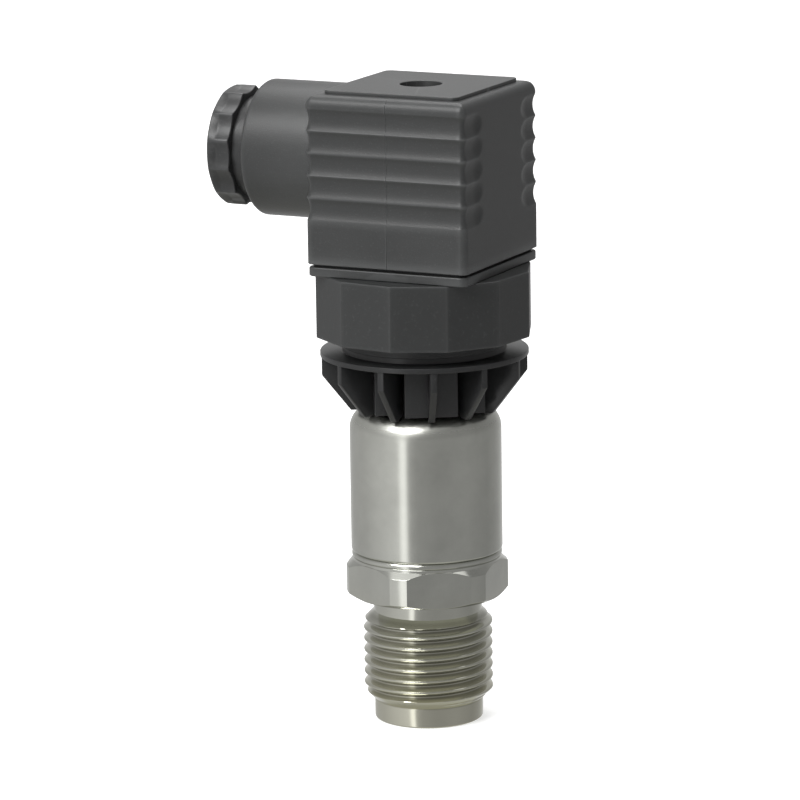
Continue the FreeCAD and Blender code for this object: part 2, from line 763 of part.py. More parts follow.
def grip_groove(body):
    """One concave groove along the front face, carried round both corners and faded out on the ends."""
    half, corner, wrap = number("plug_side / 2"), number("plug_corner"), number("grip_wrap")
    flare, depth, width = number("grip_flare"), number("grip_depth"), number("grip_half_width")
    over, height = number("grip_overrun"), number("plug_shoulder - grip_top")
    up = FreeCAD.Vector(0, 0, 1)
    straight = half - corner
    start = straight - wrap
    fade = math.acos(1 - (depth + over) / flare)

    def arc(across, along, radius, first, last):
        return Part.ArcOfCircle(Part.Circle(FreeCAD.Vector(across, along, 0), up, radius), first, last)

    def line(*ends):
        return Part.LineSegment(*[FreeCAD.Vector(across, along, 0) for across, along in ends])

    path = new_sketch(body, "XY_Plane", "plug_shoulder - grip_top")
    path.addGeometry([
        arc(-half - flare, -start, flare, 0, fade), line((-half, -start), (-half, -straight)),
        arc(-straight, -straight, corner, math.pi, math.pi * 1.5), line((-straight, -half), (straight, -half)),
        arc(straight, -straight, corner, math.pi * 1.5, math.tau), line((half, -straight), (half, -start)),
        arc(half + flare, -start, flare, math.pi - fade, math.pi)], False)
    radius = (width ** 2 + depth ** 2) / (2 * depth)
    spread = (radius ** 2 - (radius - depth - over) ** 2) ** 0.5
    section = new_sketch(body, "YZ_Plane")
    ends = [FreeCAD.Vector(-half - over, height + rise, 0) for rise in (-spread, spread)]
    floor = FreeCAD.Vector(depth - half, height, 0)
    section.addGeometry([Part.Arc(ends[0], floor, ends[1]), Part.LineSegment(ends[1], ends[0])], False)
    groove = body.newObject("PartDesign::SubtractivePipe", body.Name + "Grip")
    groove.Profile = section
    groove.Spine = (path, [])
    return groove


def make_grips(body):
    """The groove repeated down the front face and mirrored to the back one."""
    groove = grip_groove(body)
    down = body.newObject("PartDesign::LinearPattern", "GripsDown")
    down.Direction = (datum(body, "Z_Axis"), [""])
    down.Reversed = True
    bind(down, Length="grip_pitch * (grip_count - 1)", Occurrences="grip_count")
    across = body.newObject("PartDesign::Mirrored", "GripsAcross")
    across.MirrorPlane = (datum(body, "XZ_Plane"), [""])
    grips = body.newObject("PartDesign::MultiTransform", "Grips")
    grips.Originals = [groove]
    grips.Transformations = [down, across]
    body.Tip = grips


def make_plug_housing():
    """Square hood with gripping grooves, a cable tube to the side and a boss for the centre screw."""
    body = new_body("plug_housing")
    sides = new_sketch(body, "XY_Plane", "plug_bottom")
    square(sides, "plug_side")
    pad(body, sides, "plug_height")
    soften(body, "Fillet", upright_corner("plug_side / 2"), "plug_corner")
    doc.recompute()

    def top_rim(edge):
        return near(edge.BoundBox.ZMin, "plug_shoulder") and near(edge.BoundBox.ZMax, "plug_shoulder")
    soften(body, "Fillet", top_rim, "plug_top_edge")
    doc.recompute()
    make_grips(body)
    top_pad = new_sketch(body, "XY_Plane", "plug_shoulder")
    square(top_pad, "pad_side")
    pad(body, top_pad, "pad_height")
    soften(body, "Fillet", upright_corner("pad_side / 2"), "pad_corner")
    tube = new_sketch(body, "YZ_Plane", "-gland_reach")
    circle(tube, "0", "gland_axis", "gland_radius")
    pad(body, tube, "gland_reach - cavity_half")

    def tube_end(edge):
        return near(edge.BoundBox.XMin, "-gland_reach") and near(edge.BoundBox.XMax, "-gland_reach")
    soften(body, "Fillet", tube_end, "gland_edge")
    mouth = new_sketch(body, "XY_Plane", "plug_bottom")
    square(mouth, "cavity_half * 2")
    pocket(body, mouth, "boss_bottom - plug_bottom")
    wiring_space = new_sketch(body, "XY_Plane", "boss_bottom")
    square(wiring_space, "cavity_half * 2")
    circle(wiring_space, "0", "0", "screw_boss_radius")
    pocket(body, wiring_space, "cavity_roof - boss_bottom")
    lip = new_sketch(body, "XY_Plane", "plug_bottom")
    square(lip, "plug_side - 2 * plug_lip")
    pocket(body, lip, "gasket_top - plug_bottom")
    bore = new_sketch(body, "XY_Plane", "plug_bottom")
    circle(bore, "0", "0", "screw_boss_bore")
    pocket(body, bore, "plug_height")
    well = new_sketch(body, "XY_Plane", "washer_seat")
    circle(well, "0", "0", "screw_well_radius")
    pocket(body, well, "screw_well_depth")
    gland = new_sketch(body, "YZ_Plane", "-gland_reach")
    circle(gland, "0", "gland_axis", "gland_bore")
    pocket(body, gland, "gland_reach - gland_seat")
    wires = new_sketch(body, "YZ_Plane", "-gland_seat")
    circle(wires, "0", "gland_axis", "wire_hole_radius")
    pocket(body, wires, "gland_seat - cavity_half + plug_wall / 2")


def make_terminal_insert():
    """Moulded block that fills the hood's mouth and holds a contact in each of its four pockets."""
    body = new_body("terminal_insert")
    side = "(cavity_half - insert_gap) * 2"
    outer = new_sketch(body, "XY_Plane", "insert_bottom")
    square(outer, side)
    pad(body, outer, "insert_height")
    soften(body, "Fillet", upright_corner("cavity_half - insert_gap"), "insert_corner")
    hole = new_sketch(body, "XY_Plane", "insert_bottom")
    circle(hole, "0", "0", "insert_bore")
    pocket(body, hole, "insert_height")
    seat = new_sketch(body, "XY_Plane", "clamp_bottom")
    rectangle(seat, "clamp_inner - pocket_gap", "clamp_outer + pocket_gap", "-clamp_half_width - pocket_side_gap",
              "clamp_half_width + pocket_side_gap")
    slot = new_sketch(body, "XY_Plane", "insert_bottom")
    half = "(pin_thickness / 2 + clamp_pin_gap)"
    rectangle(slot, f"pin_circle - {half}", f"pin_circle + {half}", "-pin_width / 2 - clamp_pin_gap",
              "pin_width / 2 + clamp_pin_gap")
    repeat_round(body, [pocket(body, seat, "insert_top - clamp_bottom"), pocket(body, slot, "insert_floor")], "4")


def make_contacts():
    """Brass clamps, one round each pin, and the steel screws that clamp the wires."""
    low = "clamp_bottom"
    half = "(pin_thickness / 2 + clamp_pin_gap)"
    wide = "(pin_width / 2 + clamp_pin_gap)"
    screws = []
    for index, angle in enumerate(QUARTERS, 1):
        label = "earth_contact" if index == 4 else f"terminal_contact_{index}"
        bar = block(f"ContactBar{index}", ("clamp_inner", "-clamp_half_width", low),
                    ("clamp_outer - clamp_inner", "clamp_half_width * 2", "clamp_height"))
        slot = block(f"ContactSlot{index}", (f"pin_circle - {half}", "-" + wide, low),
                     (half + " * 2", wide + " * 2", "clamp_height"))
        hole = rod(f"ContactHole{index}", "screw_radius + clamp_screw_gap", "clamp_screw_circle", low,
                   "clamp_height")
        as_node(turned_about_axis(carved(label, bar, [slot, hole]), angle))
        shank = rod(f"ClampShank{index}", "screw_radius", "clamp_screw_circle", "clamp_top - clamp_screw_length",
                    "clamp_screw_length")
        head = rod(f"ClampHead{index}", "clamp_head_radius", "clamp_screw_circle", "clamp_top",
                   "clamp_head_height")
        notch = block(f"ClampNotch{index}", (f"clamp_screw_circle - clamp_head_radius", "-screw_slot_width / 2",
                                             "clamp_top + clamp_head_height - screw_slot_depth"),
                      ("clamp_head_radius * 2", "screw_slot_width", "screw_slot_depth"))
        whole = carved(f"ClampScrew{index}", joined(f"ClampScrewBody{index}", [shank, head]), [notch])
        screws.append(turned_about_axis(whole, angle))
    as_node(grouped("terminal_screws", screws))


# ---- gland, turned about an axis that lies along X

def gland_ring(label, inner, outer, start, end):
    """A ring about the gland axis between two distances from the sensor axis."""
    body = new_body(label)
    sketch = new_sketch(body, "YZ_Plane", f"-({end})")
    circle(sketch, "0", "gland_axis", outer)
    circle(sketch, "0", "gland_axis", inner)
    pad(body, sketch, f"({end}) - ({start})")
    return body


def make_gland_seal():
    gland_ring("gland_seal", "gland_seal_bore", "gland_seal_radius", "gland_seat + gland_seal_gap", "seal_end")


def make_thrust_ring():
    gland_ring("thrust_ring", "thrust_ring_bore", "gland_seal_radius", "thrust_start", "thrust_end")


def make_gland_nut():
    """Compression nut with a fluted head and a threaded spigot that screws into the tube."""
    body = new_body("gland_nut")
    bind(body, Placement__Base__z="gland_axis")
    head = new_sketch(body, "YZ_Plane", "-nut_start")
    circle(head, "0", "0", "nut_radius")
    pad(body, head, "nut_length", Reversed=True)
    doc.recompute()

    def outer_rim(edge):
        return near(edge.BoundBox.XMin, "-nut_start - nut_length") and near(edge.BoundBox.XMax, "-nut_start - nut_length")
    soften(body, "Chamfer", outer_rim, "nut_edge")
    doc.recompute()
    flute = new_sketch(body, "YZ_Plane", "-nut_start")
    out = "(flute_floor_radius + flute_radius)"
    circle(flute, f"-{out} * cos(flute_turn)", f"{out} * sin(flute_turn)", "flute_radius")
    repeat_round(body, [pocket(body, flute, "nut_length", Reversed=False)], "flute_count", "X_Axis")
    spigot = new_sketch(body, "YZ_Plane", "-nut_start")
    circle(spigot, "0", "0", "gland_bore - gland_thread_gap")
    pad(body, spigot, "nut_start - thrust_end")
    bore = new_sketch(body, "YZ_Plane", "-thrust_end")
    circle(bore, "0", "0", "nut_bore")
    pocket(body, bore, "nut_start + nut_length - thrust_end", Reversed=False)


# ---- centre screw

def make_screw_washer():
    ring("screw_washer", "screw_radius + washer_gap", "washer_radius", "washer_seat", "washer_thickness")


def make_centre_screw():
    """Cheese-head screw that holds the plug on the carrier's bush."""
    body = new_body("centre_screw")
    head_top = "screw_seat + screw_head_height"
    spin(body, "Revolution", [
        ("0", "screw_tip"), ("screw_radius - screw_edge", "screw_tip"), ("screw_radius", "screw_tip + screw_edge"),
        ("screw_radius", "screw_seat"), ("screw_head_radius", "screw_seat"),
        ("screw_head_radius", f"{head_top} - screw_edge"), ("screw_head_radius - screw_edge", head_top),
        ("0", head_top)])
    slot = new_sketch(body, "XY_Plane", head_top)
    half = "screw_slot_width / 2"
    rectangle(slot, "-screw_head_radius - 1", "screw_head_radius + 1", "-" + half, half)
    pocket(body, slot, "screw_slot_depth", Reversed=False)


def check_and_write():
    doc.recompute()
    failed = [thing.Label for thing in doc.Objects if {"Invalid", "Error"} & set(thing.State)]
    if failed:
        raise RuntimeError("failed objects: " + ", ".join(failed))
    for thing in nodes:
        if thing.Shape.isNull() or not thing.Shape.isValid() or not thing.Shape.Solids:
            raise RuntimeError("bad shape: " + thing.Label)
    os.makedirs("parts", exist_ok=True)
    for thing in nodes:
        thing.Shape.exportStep(f"parts/{thing.Label}.step")
        print(f"{thing.Label}: {len(thing.Shape.Solids)} solid, {thing.Shape.Volume:.1f} mm3")


fill_sheet()
make_process_fitting()
make_cell_seal()
make_measuring_cell()
make_lock_ring()
make_can()
make_main_board()
make_cell_pins()
make_board_parts()
make_leads()
make_cooling_collar()
make_collar_seal()
make_stem_nut()
make_adapter()
make_top_board()
make_pin_carrier()
make_pins()
make_bush()
make_profile_gasket()
make_plug_housing()
make_terminal_insert()
make_contacts()
make_gland_seal()
make_thrust_ring()
make_gland_nut()
make_screw_washer()
make_centre_screw()
check_and_write()
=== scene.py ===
"""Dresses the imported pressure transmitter: detailed meshes, procedural materials, stage and camera."""

import math

import bmesh
import bpy
from bpy.props import FloatProperty, FloatVectorProperty, IntProperty, PointerProperty
from mathutils import Matrix, Vector


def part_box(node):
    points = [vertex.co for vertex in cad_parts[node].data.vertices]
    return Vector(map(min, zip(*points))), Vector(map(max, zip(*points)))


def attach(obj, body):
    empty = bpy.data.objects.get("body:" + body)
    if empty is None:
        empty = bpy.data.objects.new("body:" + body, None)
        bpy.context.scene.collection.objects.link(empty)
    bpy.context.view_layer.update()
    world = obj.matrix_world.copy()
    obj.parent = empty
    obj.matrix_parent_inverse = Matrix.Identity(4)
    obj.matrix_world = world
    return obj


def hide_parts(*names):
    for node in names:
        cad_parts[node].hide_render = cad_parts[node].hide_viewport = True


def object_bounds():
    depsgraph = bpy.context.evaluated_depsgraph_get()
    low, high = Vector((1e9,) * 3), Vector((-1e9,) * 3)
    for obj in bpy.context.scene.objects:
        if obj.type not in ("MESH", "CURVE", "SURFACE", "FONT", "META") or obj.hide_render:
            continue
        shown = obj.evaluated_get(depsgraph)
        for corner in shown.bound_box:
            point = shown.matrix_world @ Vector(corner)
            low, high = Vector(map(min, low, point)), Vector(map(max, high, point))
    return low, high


bl_info = {
    "name": "Pressure Transmitter Dressing",
    "version": (1, 0, 0),
    "blender": (4, 5, 0),
    "location": "3D View > Sidebar > Transmitter",
    "description": "Builds the detailed visual pieces of a pressure transmitter round its CAD frame",
    "category": "Object",
}

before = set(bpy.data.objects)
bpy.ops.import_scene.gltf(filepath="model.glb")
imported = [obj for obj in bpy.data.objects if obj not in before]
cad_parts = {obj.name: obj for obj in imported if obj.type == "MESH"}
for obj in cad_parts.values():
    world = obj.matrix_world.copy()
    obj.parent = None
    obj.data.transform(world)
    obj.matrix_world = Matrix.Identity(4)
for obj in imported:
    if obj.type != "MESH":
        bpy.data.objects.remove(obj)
cad_box = [list(corner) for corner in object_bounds()]
MM = 0.001
LENGTH = {"unit": "LENGTH", "subtype": "DISTANCE"}


def span(node, axis):
    """Lowest and highest coordinate of a CAD node along one axis, in millimetres."""
    low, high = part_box(node)
    return low["xyz".index(axis)] / MM, high["xyz".index(axis)] / MM


def colour_property(name, description, default):
    return FloatVectorProperty(name=name, description=description, default=default, size=3, min=0.0, max=1.0,
                               subtype="COLOR")


# ---- settings

class TransmitterFinish(bpy.types.PropertyGroup):
    hood: colour_property("Hood", "Colour of the plug's moulded hood", (0.032, 0.033, 0.033))
    adapter: colour_property("Adapter", "Colour of the twelve-sided adapter", (0.026, 0.027, 0.027))
    collar: colour_property("Collar", "Colour of the finned collar", (0.018, 0.0184, 0.0188))
    gland: colour_property("Gland nut", "Colour of the fluted gland nut", (0.027, 0.0275, 0.028))
    steel: colour_property("Steel", "Colour of the stainless steel", (0.585, 0.59, 0.545))
    brass: colour_property("Brass", "Colour of the bush and the terminals", (0.72, 0.54, 0.24))
    rubber: colour_property("Rubber", "Colour of the seals", (0.012, 0.012, 0.012))


class TransmitterThread(bpy.types.PropertyGroup):
    pitch: FloatProperty(name="Pitch", description="Distance between two turns", default=1.814 * MM, **LENGTH)
    depth: FloatProperty(name="Depth", description="Crest to root", default=1.161 * MM, **LENGTH)
    crest_turn: FloatProperty(name="Start", description="Angle at which a crest stands at the start height",
                              default=math.radians(205.9), unit="ROTATION", subtype="ANGLE")
    crest_height: FloatProperty(name="Start height", description="Height of the crest at the start angle",
                                default=11.36 * MM, **LENGTH)
    steps: IntProperty(name="Steps", description="Mesh rows in each turn of the thread", default=20, min=8)


class TransmitterHood(bpy.types.PropertyGroup):
    groove_pitch: FloatProperty(name="Groove pitch", description="Distance between two grip grooves",
                                default=3.58 * MM, **LENGTH)
    groove_depth: FloatProperty(name="Groove depth", description="Depth of a grip groove", default=0.47 * MM,
                                **LENGTH)
    groove_count: IntProperty(name="Grooves", description="Grip grooves on each gripping face", default=5, min=1)
    corner: FloatProperty(name="Corner", description="Radius of the upright corners", default=1.2 * MM, **LENGTH)
    seam_offset: FloatProperty(name="Seam", description="Place of the parting line on the front",
                               default=0.3 * MM, **LENGTH)


class TransmitterStudio(bpy.types.PropertyGroup):
    azimuth: FloatProperty(name="Azimuth", description="Camera's direction round the sensor axis",
                           default=math.radians(25.93), unit="ROTATION", subtype="ANGLE")
    elevation: FloatProperty(name="Elevation", description="Height angle of the camera",
                             default=math.radians(12.077), unit="ROTATION", subtype="ANGLE")
    roll: FloatProperty(name="Roll", description="Turn about the line of sight",
                        default=math.radians(-0.819), unit="ROTATION", subtype="ANGLE")
    lens: FloatProperty(name="Lens", description="Focal length for a 36 mm sensor", default=225.18)
    distance: FloatProperty(name="Distance", description="Camera to sensor axis, along the floor",
                            default=0.78665, **LENGTH)
    height: FloatProperty(name="Height", description="Camera height above the floor", default=0.22073, **LENGTH)
    shift: FloatProperty(name="Offset", description="Camera's sideways offset from the sensor axis",
                         default=-4.046 * MM, **LENGTH)


# ---- shader graphs

class Value:
    """A shader socket that takes part in arithmetic by adding Math nodes."""

    def __init__(self, graph, socket):
        self.graph = graph
        self.socket = socket

    def _math(self, operation, *numbers):
        return self.graph.make("ShaderNodeMath", {"operation": operation}, numbers)

    def __add__(self, other):
        return self._math("ADD", self, other)

    def __sub__(self, other):
        return self._math("SUBTRACT", self, other)

    def __rsub__(self, other):
        return self._math("SUBTRACT", other, self)

    def __mul__(self, other):
        return self._math("MULTIPLY", self, other)

    def __truediv__(self, other):
        return self._math("DIVIDE", self, other)

    def clamped(self, low, high):
        return self._math("MINIMUM", self._math("MAXIMUM", self, low), high)

    def rise(self, low, high):
        """0 at low, 1 at high, straight between and held beyond; it falls where high is below low."""
        return ((self - low) / (high - low)).clamped(0.0, 1.0)

    __radd__ = __add__
    __rmul__ = __mul__


class Graph:
    """The node tree of one material or world."""

    def __init__(self, tree):
        self.tree = tree

    def make(self, kind, settings=None, inputs=(), output=0):
        """A node: settings first, then its inputs by place or by name; returns one of its outputs."""
        node = self.tree.nodes.new(kind)
        for name, value in (settings or {}).items():
            if name == "stops":
                self._stops(node.color_ramp, value)
            else:
                setattr(node, name, value)
        pairs = inputs.items() if isinstance(inputs, dict) else enumerate(inputs)
        for place, value in pairs:
            if isinstance(value, Value):
                self.tree.links.new(value.socket, node.inputs[place])
            else:
                node.inputs[place].default_value = value
        return Value(self, node.outputs[output]) if node.outputs else None

    @staticmethod
    def _stops(ramp, stops):
        for index, (position, colour) in enumerate(stops):
            stop = ramp.elements[index] if index < 2 else ramp.elements.new(position)
            stop.position = position
            stop.color = colour

    def place(self):
        return self.make("ShaderNodeTexCoord", output="Object")

    def stretched(self, scale):
        """Object coordinates multiplied by a scale for each axis."""
        return self.make("ShaderNodeVectorMath", {"operation": "MULTIPLY"}, (self.place(), scale))

    def noise(self, vector, scale, detail=4.0, roughness=0.55):
        return self.make("ShaderNodeTexNoise", {}, {"Vector": vector, "Scale": scale, "Detail": detail,
                                                    "Roughness": roughness})

    def cells(self, vector, scale):
        return self.make("ShaderNodeTexVoronoi", {}, {"Vector": vector, "Scale": scale})

    def mix(self, factor, first, second):
        """Blends two colours."""
        return self.make("ShaderNodeMix", {"data_type": "RGBA"}, {"Factor": factor, 6: first, 7: second}, output=2)

    def bump(self, height, distance):
        return self.make("ShaderNodeBump", {}, {"Height": height, "Distance": distance, "Strength": 1.0})

    def edges(self, low, high):
        """0 on flats and 1 on convex edges."""
        return self.make("ShaderNodeNewGeometry", output="Pointiness").rise(low, high)

    def seen(self):
        """1 for rays from the camera and their reflections, 0 for rays that carry light onto surfaces."""
        rays = [self.make("ShaderNodeLightPath", output=name)
                for name in ("Is Camera Ray", "Is Glossy Ray", "Is Transmission Ray")]
        return (rays[0] + rays[1] + rays[2]).clamped(0.0, 1.0)

    def surface(self, **inputs):
        """The finished Principled surface."""
        names = {"colour": "Base Color"}
        inputs = {names.get(key, key.title()): value for key, value in inputs.items()}
        shader = self.make("ShaderNodeBsdfPrincipled", {}, inputs)
        self.make("ShaderNodeOutputMaterial", {}, (shader,))


def solid(colour, factor=1.0):
    return tuple(min(1.0, channel * factor) for channel in colour) + (1.0,)


def new_graph(name):
    """An empty material of this name, apart from the plain ones of the CAD frame, and its graph."""
    material = bpy.data.materials.new("look_" + name)
    material.use_nodes = True
    material.node_tree.nodes.clear()
    return material, Graph(material.node_tree)


# Painted reflection: the steel is tinted yellow towards its foot in place of the floor it reflects, fading out between
# these heights.
LOW_REFLECTION_TINT = (0.60, 0.59, 0.495)
LOW_REFLECTION_FADE = (24.0, 4.0)  # heights, in millimetres
# Painted shade in the thread roots: its dark colour, the radii inside which it darkens, and the heights of the
# threaded run.
ROOT_SHADE_TONE = (0.20, 0.19, 0.15)
ROOT_SHADE_RADII = (10.1, 9.2)
ROOT_SHADE_FEET, ROOT_SHADE_HEADS = (4.5, 5.0), (17.8, 17.3)
DULL_RUN = 3.0
NO_DULL = 1000.0  # above the whole part


def band(value, limits):
    """A measure in metres against two limits in millimetres."""
    return value.rise(limits[0] * MM, limits[1] * MM)


def moulded(name, colour, roughness, grain=0.35, depth=0.02, wear=0.5, mottling=0.12, speckle=0.3):
    """Moulded plastic: grain and depth of the eroded texture in millimetres, wear lightens the edges."""
    material, graph = new_graph(name)
    here = graph.place()
    patches = graph.noise(here, 90.0, 3.0)
    fine = graph.noise(here, 1.0 / (grain * MM), 2.0, 0.7)
    tone = graph.mix((patches * 1.6 - 0.3).clamped(0.0, 1.0), solid(colour, 1.0 - mottling),
                     solid(colour, 1.0 + mottling))
    scuffs = graph.noise(graph.stretched((160.0, 160.0, 900.0)), 1.0, 5.0, 0.7)
    specks = ((fine - 0.58) * 5.0).clamped(0.0, 1.0) * speckle
    tone = graph.mix(specks, tone, solid(colour, 3.0))
    worn = graph.edges(0.505, 0.60) * (0.4 + scuffs) * wear
    tone = graph.mix(worn.clamped(0.0, 0.6), tone, solid(colour, 3.2))
    relief = graph.bump(fine, depth * MM)
    rough = (roughness - 0.05) + patches * 0.06 + fine * 0.06
    graph.surface(colour=tone, roughness=rough, normal=relief)
    return material


def turned_steel(name, colour, roughness, line_pitch=0.12, line_depth=0.004, wander=0.10, dull_from=NO_DULL):
    """Stainless steel with fine lines round the Z axis, stains, a painted reflection of the yellowish floor towards
    the foot, and painted shade in the roots of the thread.
    """
    material, graph = new_graph(name)
    rings = graph.noise(graph.stretched((20.0, 20.0, 1.0 / (line_pitch * MM))), 1.0, 3.0, 0.6)
    stains = graph.noise(graph.place(), 140.0, 4.0, 0.6)
    scratches = graph.noise(graph.stretched((700.0, 700.0, 4000.0)), 1.0, 2.0, 0.8)
    tone = graph.mix((stains * 1.8 - 0.4).clamped(0.0, 1.0), solid(colour, 1.0 - wander),
                     solid(colour, 1.0 + wander))
    height = graph.make("ShaderNodeSeparateXYZ", {}, (graph.place(),), output=2)
    # Painted reflection: yellower towards the bottom, standing in for the floor's reflection.
    low_reflection = graph.mix(stains, solid(LOW_REFLECTION_TINT), solid(LOW_REFLECTION_TINT, 1.12))
    tone = graph.mix(band(height, LOW_REFLECTION_FADE), tone, low_reflection)
    flat = graph.stretched((1.0, 1.0, 0.0))
    radius = graph.make("ShaderNodeVectorMath", {"operation": "LENGTH"}, (flat,), output=1)
    # Painted shade: darkens the roots of the thread, where the flanks shade each other.
    in_thread = band(height, ROOT_SHADE_FEET) * band(height, ROOT_SHADE_HEADS)
    root_shade = band(radius, ROOT_SHADE_RADII) * in_thread * (0.28 + stains * 0.4)
    tone = graph.mix(root_shade, tone, solid(ROOT_SHADE_TONE))
    dull = band(height, (dull_from, dull_from + DULL_RUN)) * 0.16
    rough = roughness + dull + (stains - 0.5) * 0.06 + (scratches - 0.5) * 0.03
    graph.surface(colour=tone, metallic=1.0, roughness=rough.clamped(0.08, 0.9),
                  normal=graph.bump(rings, line_depth * MM))
    return material


def plain_metal(name, colour, roughness, speckle=0.06):
    """Small plated or drawn metal parts: a fine uneven surface."""
    material, graph = new_graph(name)
    cloud = graph.noise(graph.place(), 900.0, 4.0)
    tone = graph.mix(cloud, solid(colour, 1.0 - speckle), solid(colour, 1.0 + speckle))
    graph.surface(colour=tone, metallic=1.0, roughness=roughness - 0.08 + cloud * 0.16,
                  normal=graph.bump(cloud, 0.01 * MM))
    return material


def rubber(name, colour):
    material, graph = new_graph(name)
    dust = graph.noise(graph.place(), 1400.0, 3.0, 0.7)
    tone = graph.mix((dust * 2.0 - 0.7).clamped(0.0, 1.0), solid(colour), solid(colour, 2.4))
    graph.surface(colour=tone, roughness=0.65 + dust * 0.2, normal=graph.bump(dust, 0.02 * MM))
    return material


def circuit_board(name, colour, copper):
    """Solder resist over a grid of tracks."""
    material, graph = new_graph(name)
    tracks = graph.cells(graph.stretched((900.0, 900.0, 0.0)), 1.0)
    lines = (tracks * 9.0 - 3.2).clamped(0.0, 1.0)
    tone = graph.mix(lines, solid(copper), solid(colour))
    graph.surface(colour=tone, roughness=0.32 + lines * 0.1, normal=graph.bump(lines, 0.03 * MM))
    return material


def ceramic(name, colour):
    material, graph = new_graph(name)
    grain = graph.noise(graph.place(), 2500.0, 4.0)
    tone = graph.mix(grain, solid(colour, 0.92), solid(colour))
    graph.surface(colour=tone, roughness=0.38 + grain * 0.15, normal=graph.bump(grain, 0.01 * MM))
    return material


# ---- meshes

def piece(name, mesh, body, material, nodes=(), crease=20.0):
    """Turns a bmesh into a piece that rides on a body and stands for the named CAD nodes."""
    data = bpy.data.meshes.new(name)
    bmesh.ops.recalc_face_normals(mesh, faces=mesh.faces)
    mesh.normal_update()
    mesh.to_mesh(data)
    mesh.free()
    data.polygons.foreach_set("use_smooth", [True] * len(data.polygons))
    data.set_sharp_from_angle(angle=math.radians(crease))
    data.materials.append(material)
    data.update()
    thing = bpy.data.objects.new(name, data)
    bpy.context.scene.collection.objects.link(thing)
    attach(thing, body)
    if nodes:
        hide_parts(*nodes)
    return thing


def rounded(corners, steps=5, closed=True, margin=0.0):
    """
    A 2D outline in which each corner (across, up, radius) becomes an arc of the same number of points.
    A margin adds a point near both ends of every straight run, which keeps edge wear at the edges.
    """
    count = len(corners)
    arcs = []
    for index, (across, up, radius) in enumerate(corners):
        here = Vector((across, up))
        before = Vector(corners[index - 1][:2])
        after = Vector(corners[(index + 1) % count][:2])
        if radius <= 0 or (not closed and index in (0, count - 1)):
            arcs.append([here])
            continue
        back, on = (before - here), (after - here)
        half = back.angle(on) / 2
        shares = [radius / (radius + max(0.0, corners[(index + step) % count][2])) for step in (-1, 1)]
        reach = min(radius / math.tan(half), back.length * shares[0] * 0.98, on.length * shares[1] * 0.98)
        radius = reach * math.tan(half)
        back.normalize()
        on.normalize()
        centre = here + (back + on).normalized() * (radius / math.sin(half))
        start, end = here + back * reach - centre, here + on * reach - centre
        first = math.atan2(start.y, start.x)
        sweep = (math.atan2(end.y, end.x) - first + math.pi) % math.tau - math.pi
        angles = [first + sweep * step / steps for step in range(steps + 1)]
        arcs.append([centre + Vector((math.cos(angle), math.sin(angle))) * radius for angle in angles])
    outline = []
    for index, arc in enumerate(arcs):
        outline += arc
        if margin and (closed or index < count - 1):
            run = arcs[(index + 1) % count][0] - arc[-1]
            inset = run * min(0.4, margin / max(run.length, margin))
            outline += [arc[-1] + inset, arc[-1] + run - inset]
    return [tuple(point) for point in outline]


def even_angles(count):
    return [math.tau * index / count for index in range(count)]


def add_skin(mesh, rings, closed=True):
    """Joins rings of points, in millimetres, by faces; closed joins the last ring to the first."""
    rows = [[mesh.verts.new((x * MM, y * MM, z * MM)) for x, y, z in ring] for ring in rings]
    count = len(rows[0])
    pairs = list(zip(rows, rows[1:])) + ([(rows[-1], rows[0])] if closed else [])
    for lower, upper in pairs:
        for index in range(count):
            following = (index + 1) % count
            mesh.faces.new((lower[index], lower[following], upper[following], upper[index]))


def add_turned(mesh, section, angles, closed=True):
    """Turns a section about Z. It is a list of (radius, height), or a function that gives one for an angle."""
    sections = [section(angle) if callable(section) else section for angle in angles]
    rings = []
    for row in zip(*sections):
        rings.append([(radius * math.cos(angle), radius * math.sin(angle), height)
                      for (radius, height), angle in zip(row, angles)])
    add_skin(mesh, rings, closed)


def add_prism(mesh, outline, thickness, place, edge):
    """A flat plate: the outline in millimetres, its thickness along +Z, moved by a matrix and rounded."""
    part = bmesh.new()
    low = [part.verts.new((x * MM, y * MM, 0)) for x, y in outline]
    high = [part.verts.new((x * MM, y * MM, thickness * MM)) for x, y in outline]
    part.faces.new(low[::-1])
    part.faces.new(high)
    count = len(outline)
    for index in range(count):
        following = (index + 1) % count
        part.faces.new((low[index], low[following], high[following], high[index]))
    bmesh.ops.recalc_face_normals(part, faces=part.faces)
    bmesh.ops.bevel(part, geom=part.edges[:], offset=edge * MM, segments=2, profile=0.5, affect="EDGES",
                    clamp_overlap=True)
    bmesh.ops.transform(part, matrix=place, verts=part.verts)
    merge(mesh, part)


def merge(mesh, part):
    """Moves all geometry of one bmesh into another."""
    copy = {vertex: mesh.verts.new(vertex.co) for vertex in part.verts}
    for face in part.faces:
        mesh.faces.new([copy[vertex] for vertex in face.verts])
    part.free()


def shift(x, y, z):
    return Matrix.Translation((x * MM, y * MM, z * MM))


def turn(degrees, axis="Z"):
    return Matrix.Rotation(math.radians(degrees), 4, axis)


# ---- process fitting

HEX_TURN = math.radians(-85.6)
HEX_FLATS = 24.0
HEX_CORNER = 13.09
HEX_LOW, HEX_HIGH = 20.6, 26.56
LOW_CHAMFER, LOW_ANGLE = 11.9, math.radians(30)
LAND, TOP_ANGLE = 12.1, math.radians(43)
WELD_TOP = 28.05
SPIGOT, SPIGOT_TOP = 11.29, 34.4
POCKET, POCKET_FLOOR = 9.25, 24.5
PORT = 3.0
PLAIN_END = 8.8
THREAD_FOOT, THREAD_HEAD = 3.2, 17.98
THREAD_MAJOR = 10.4775
NECK = 8.75


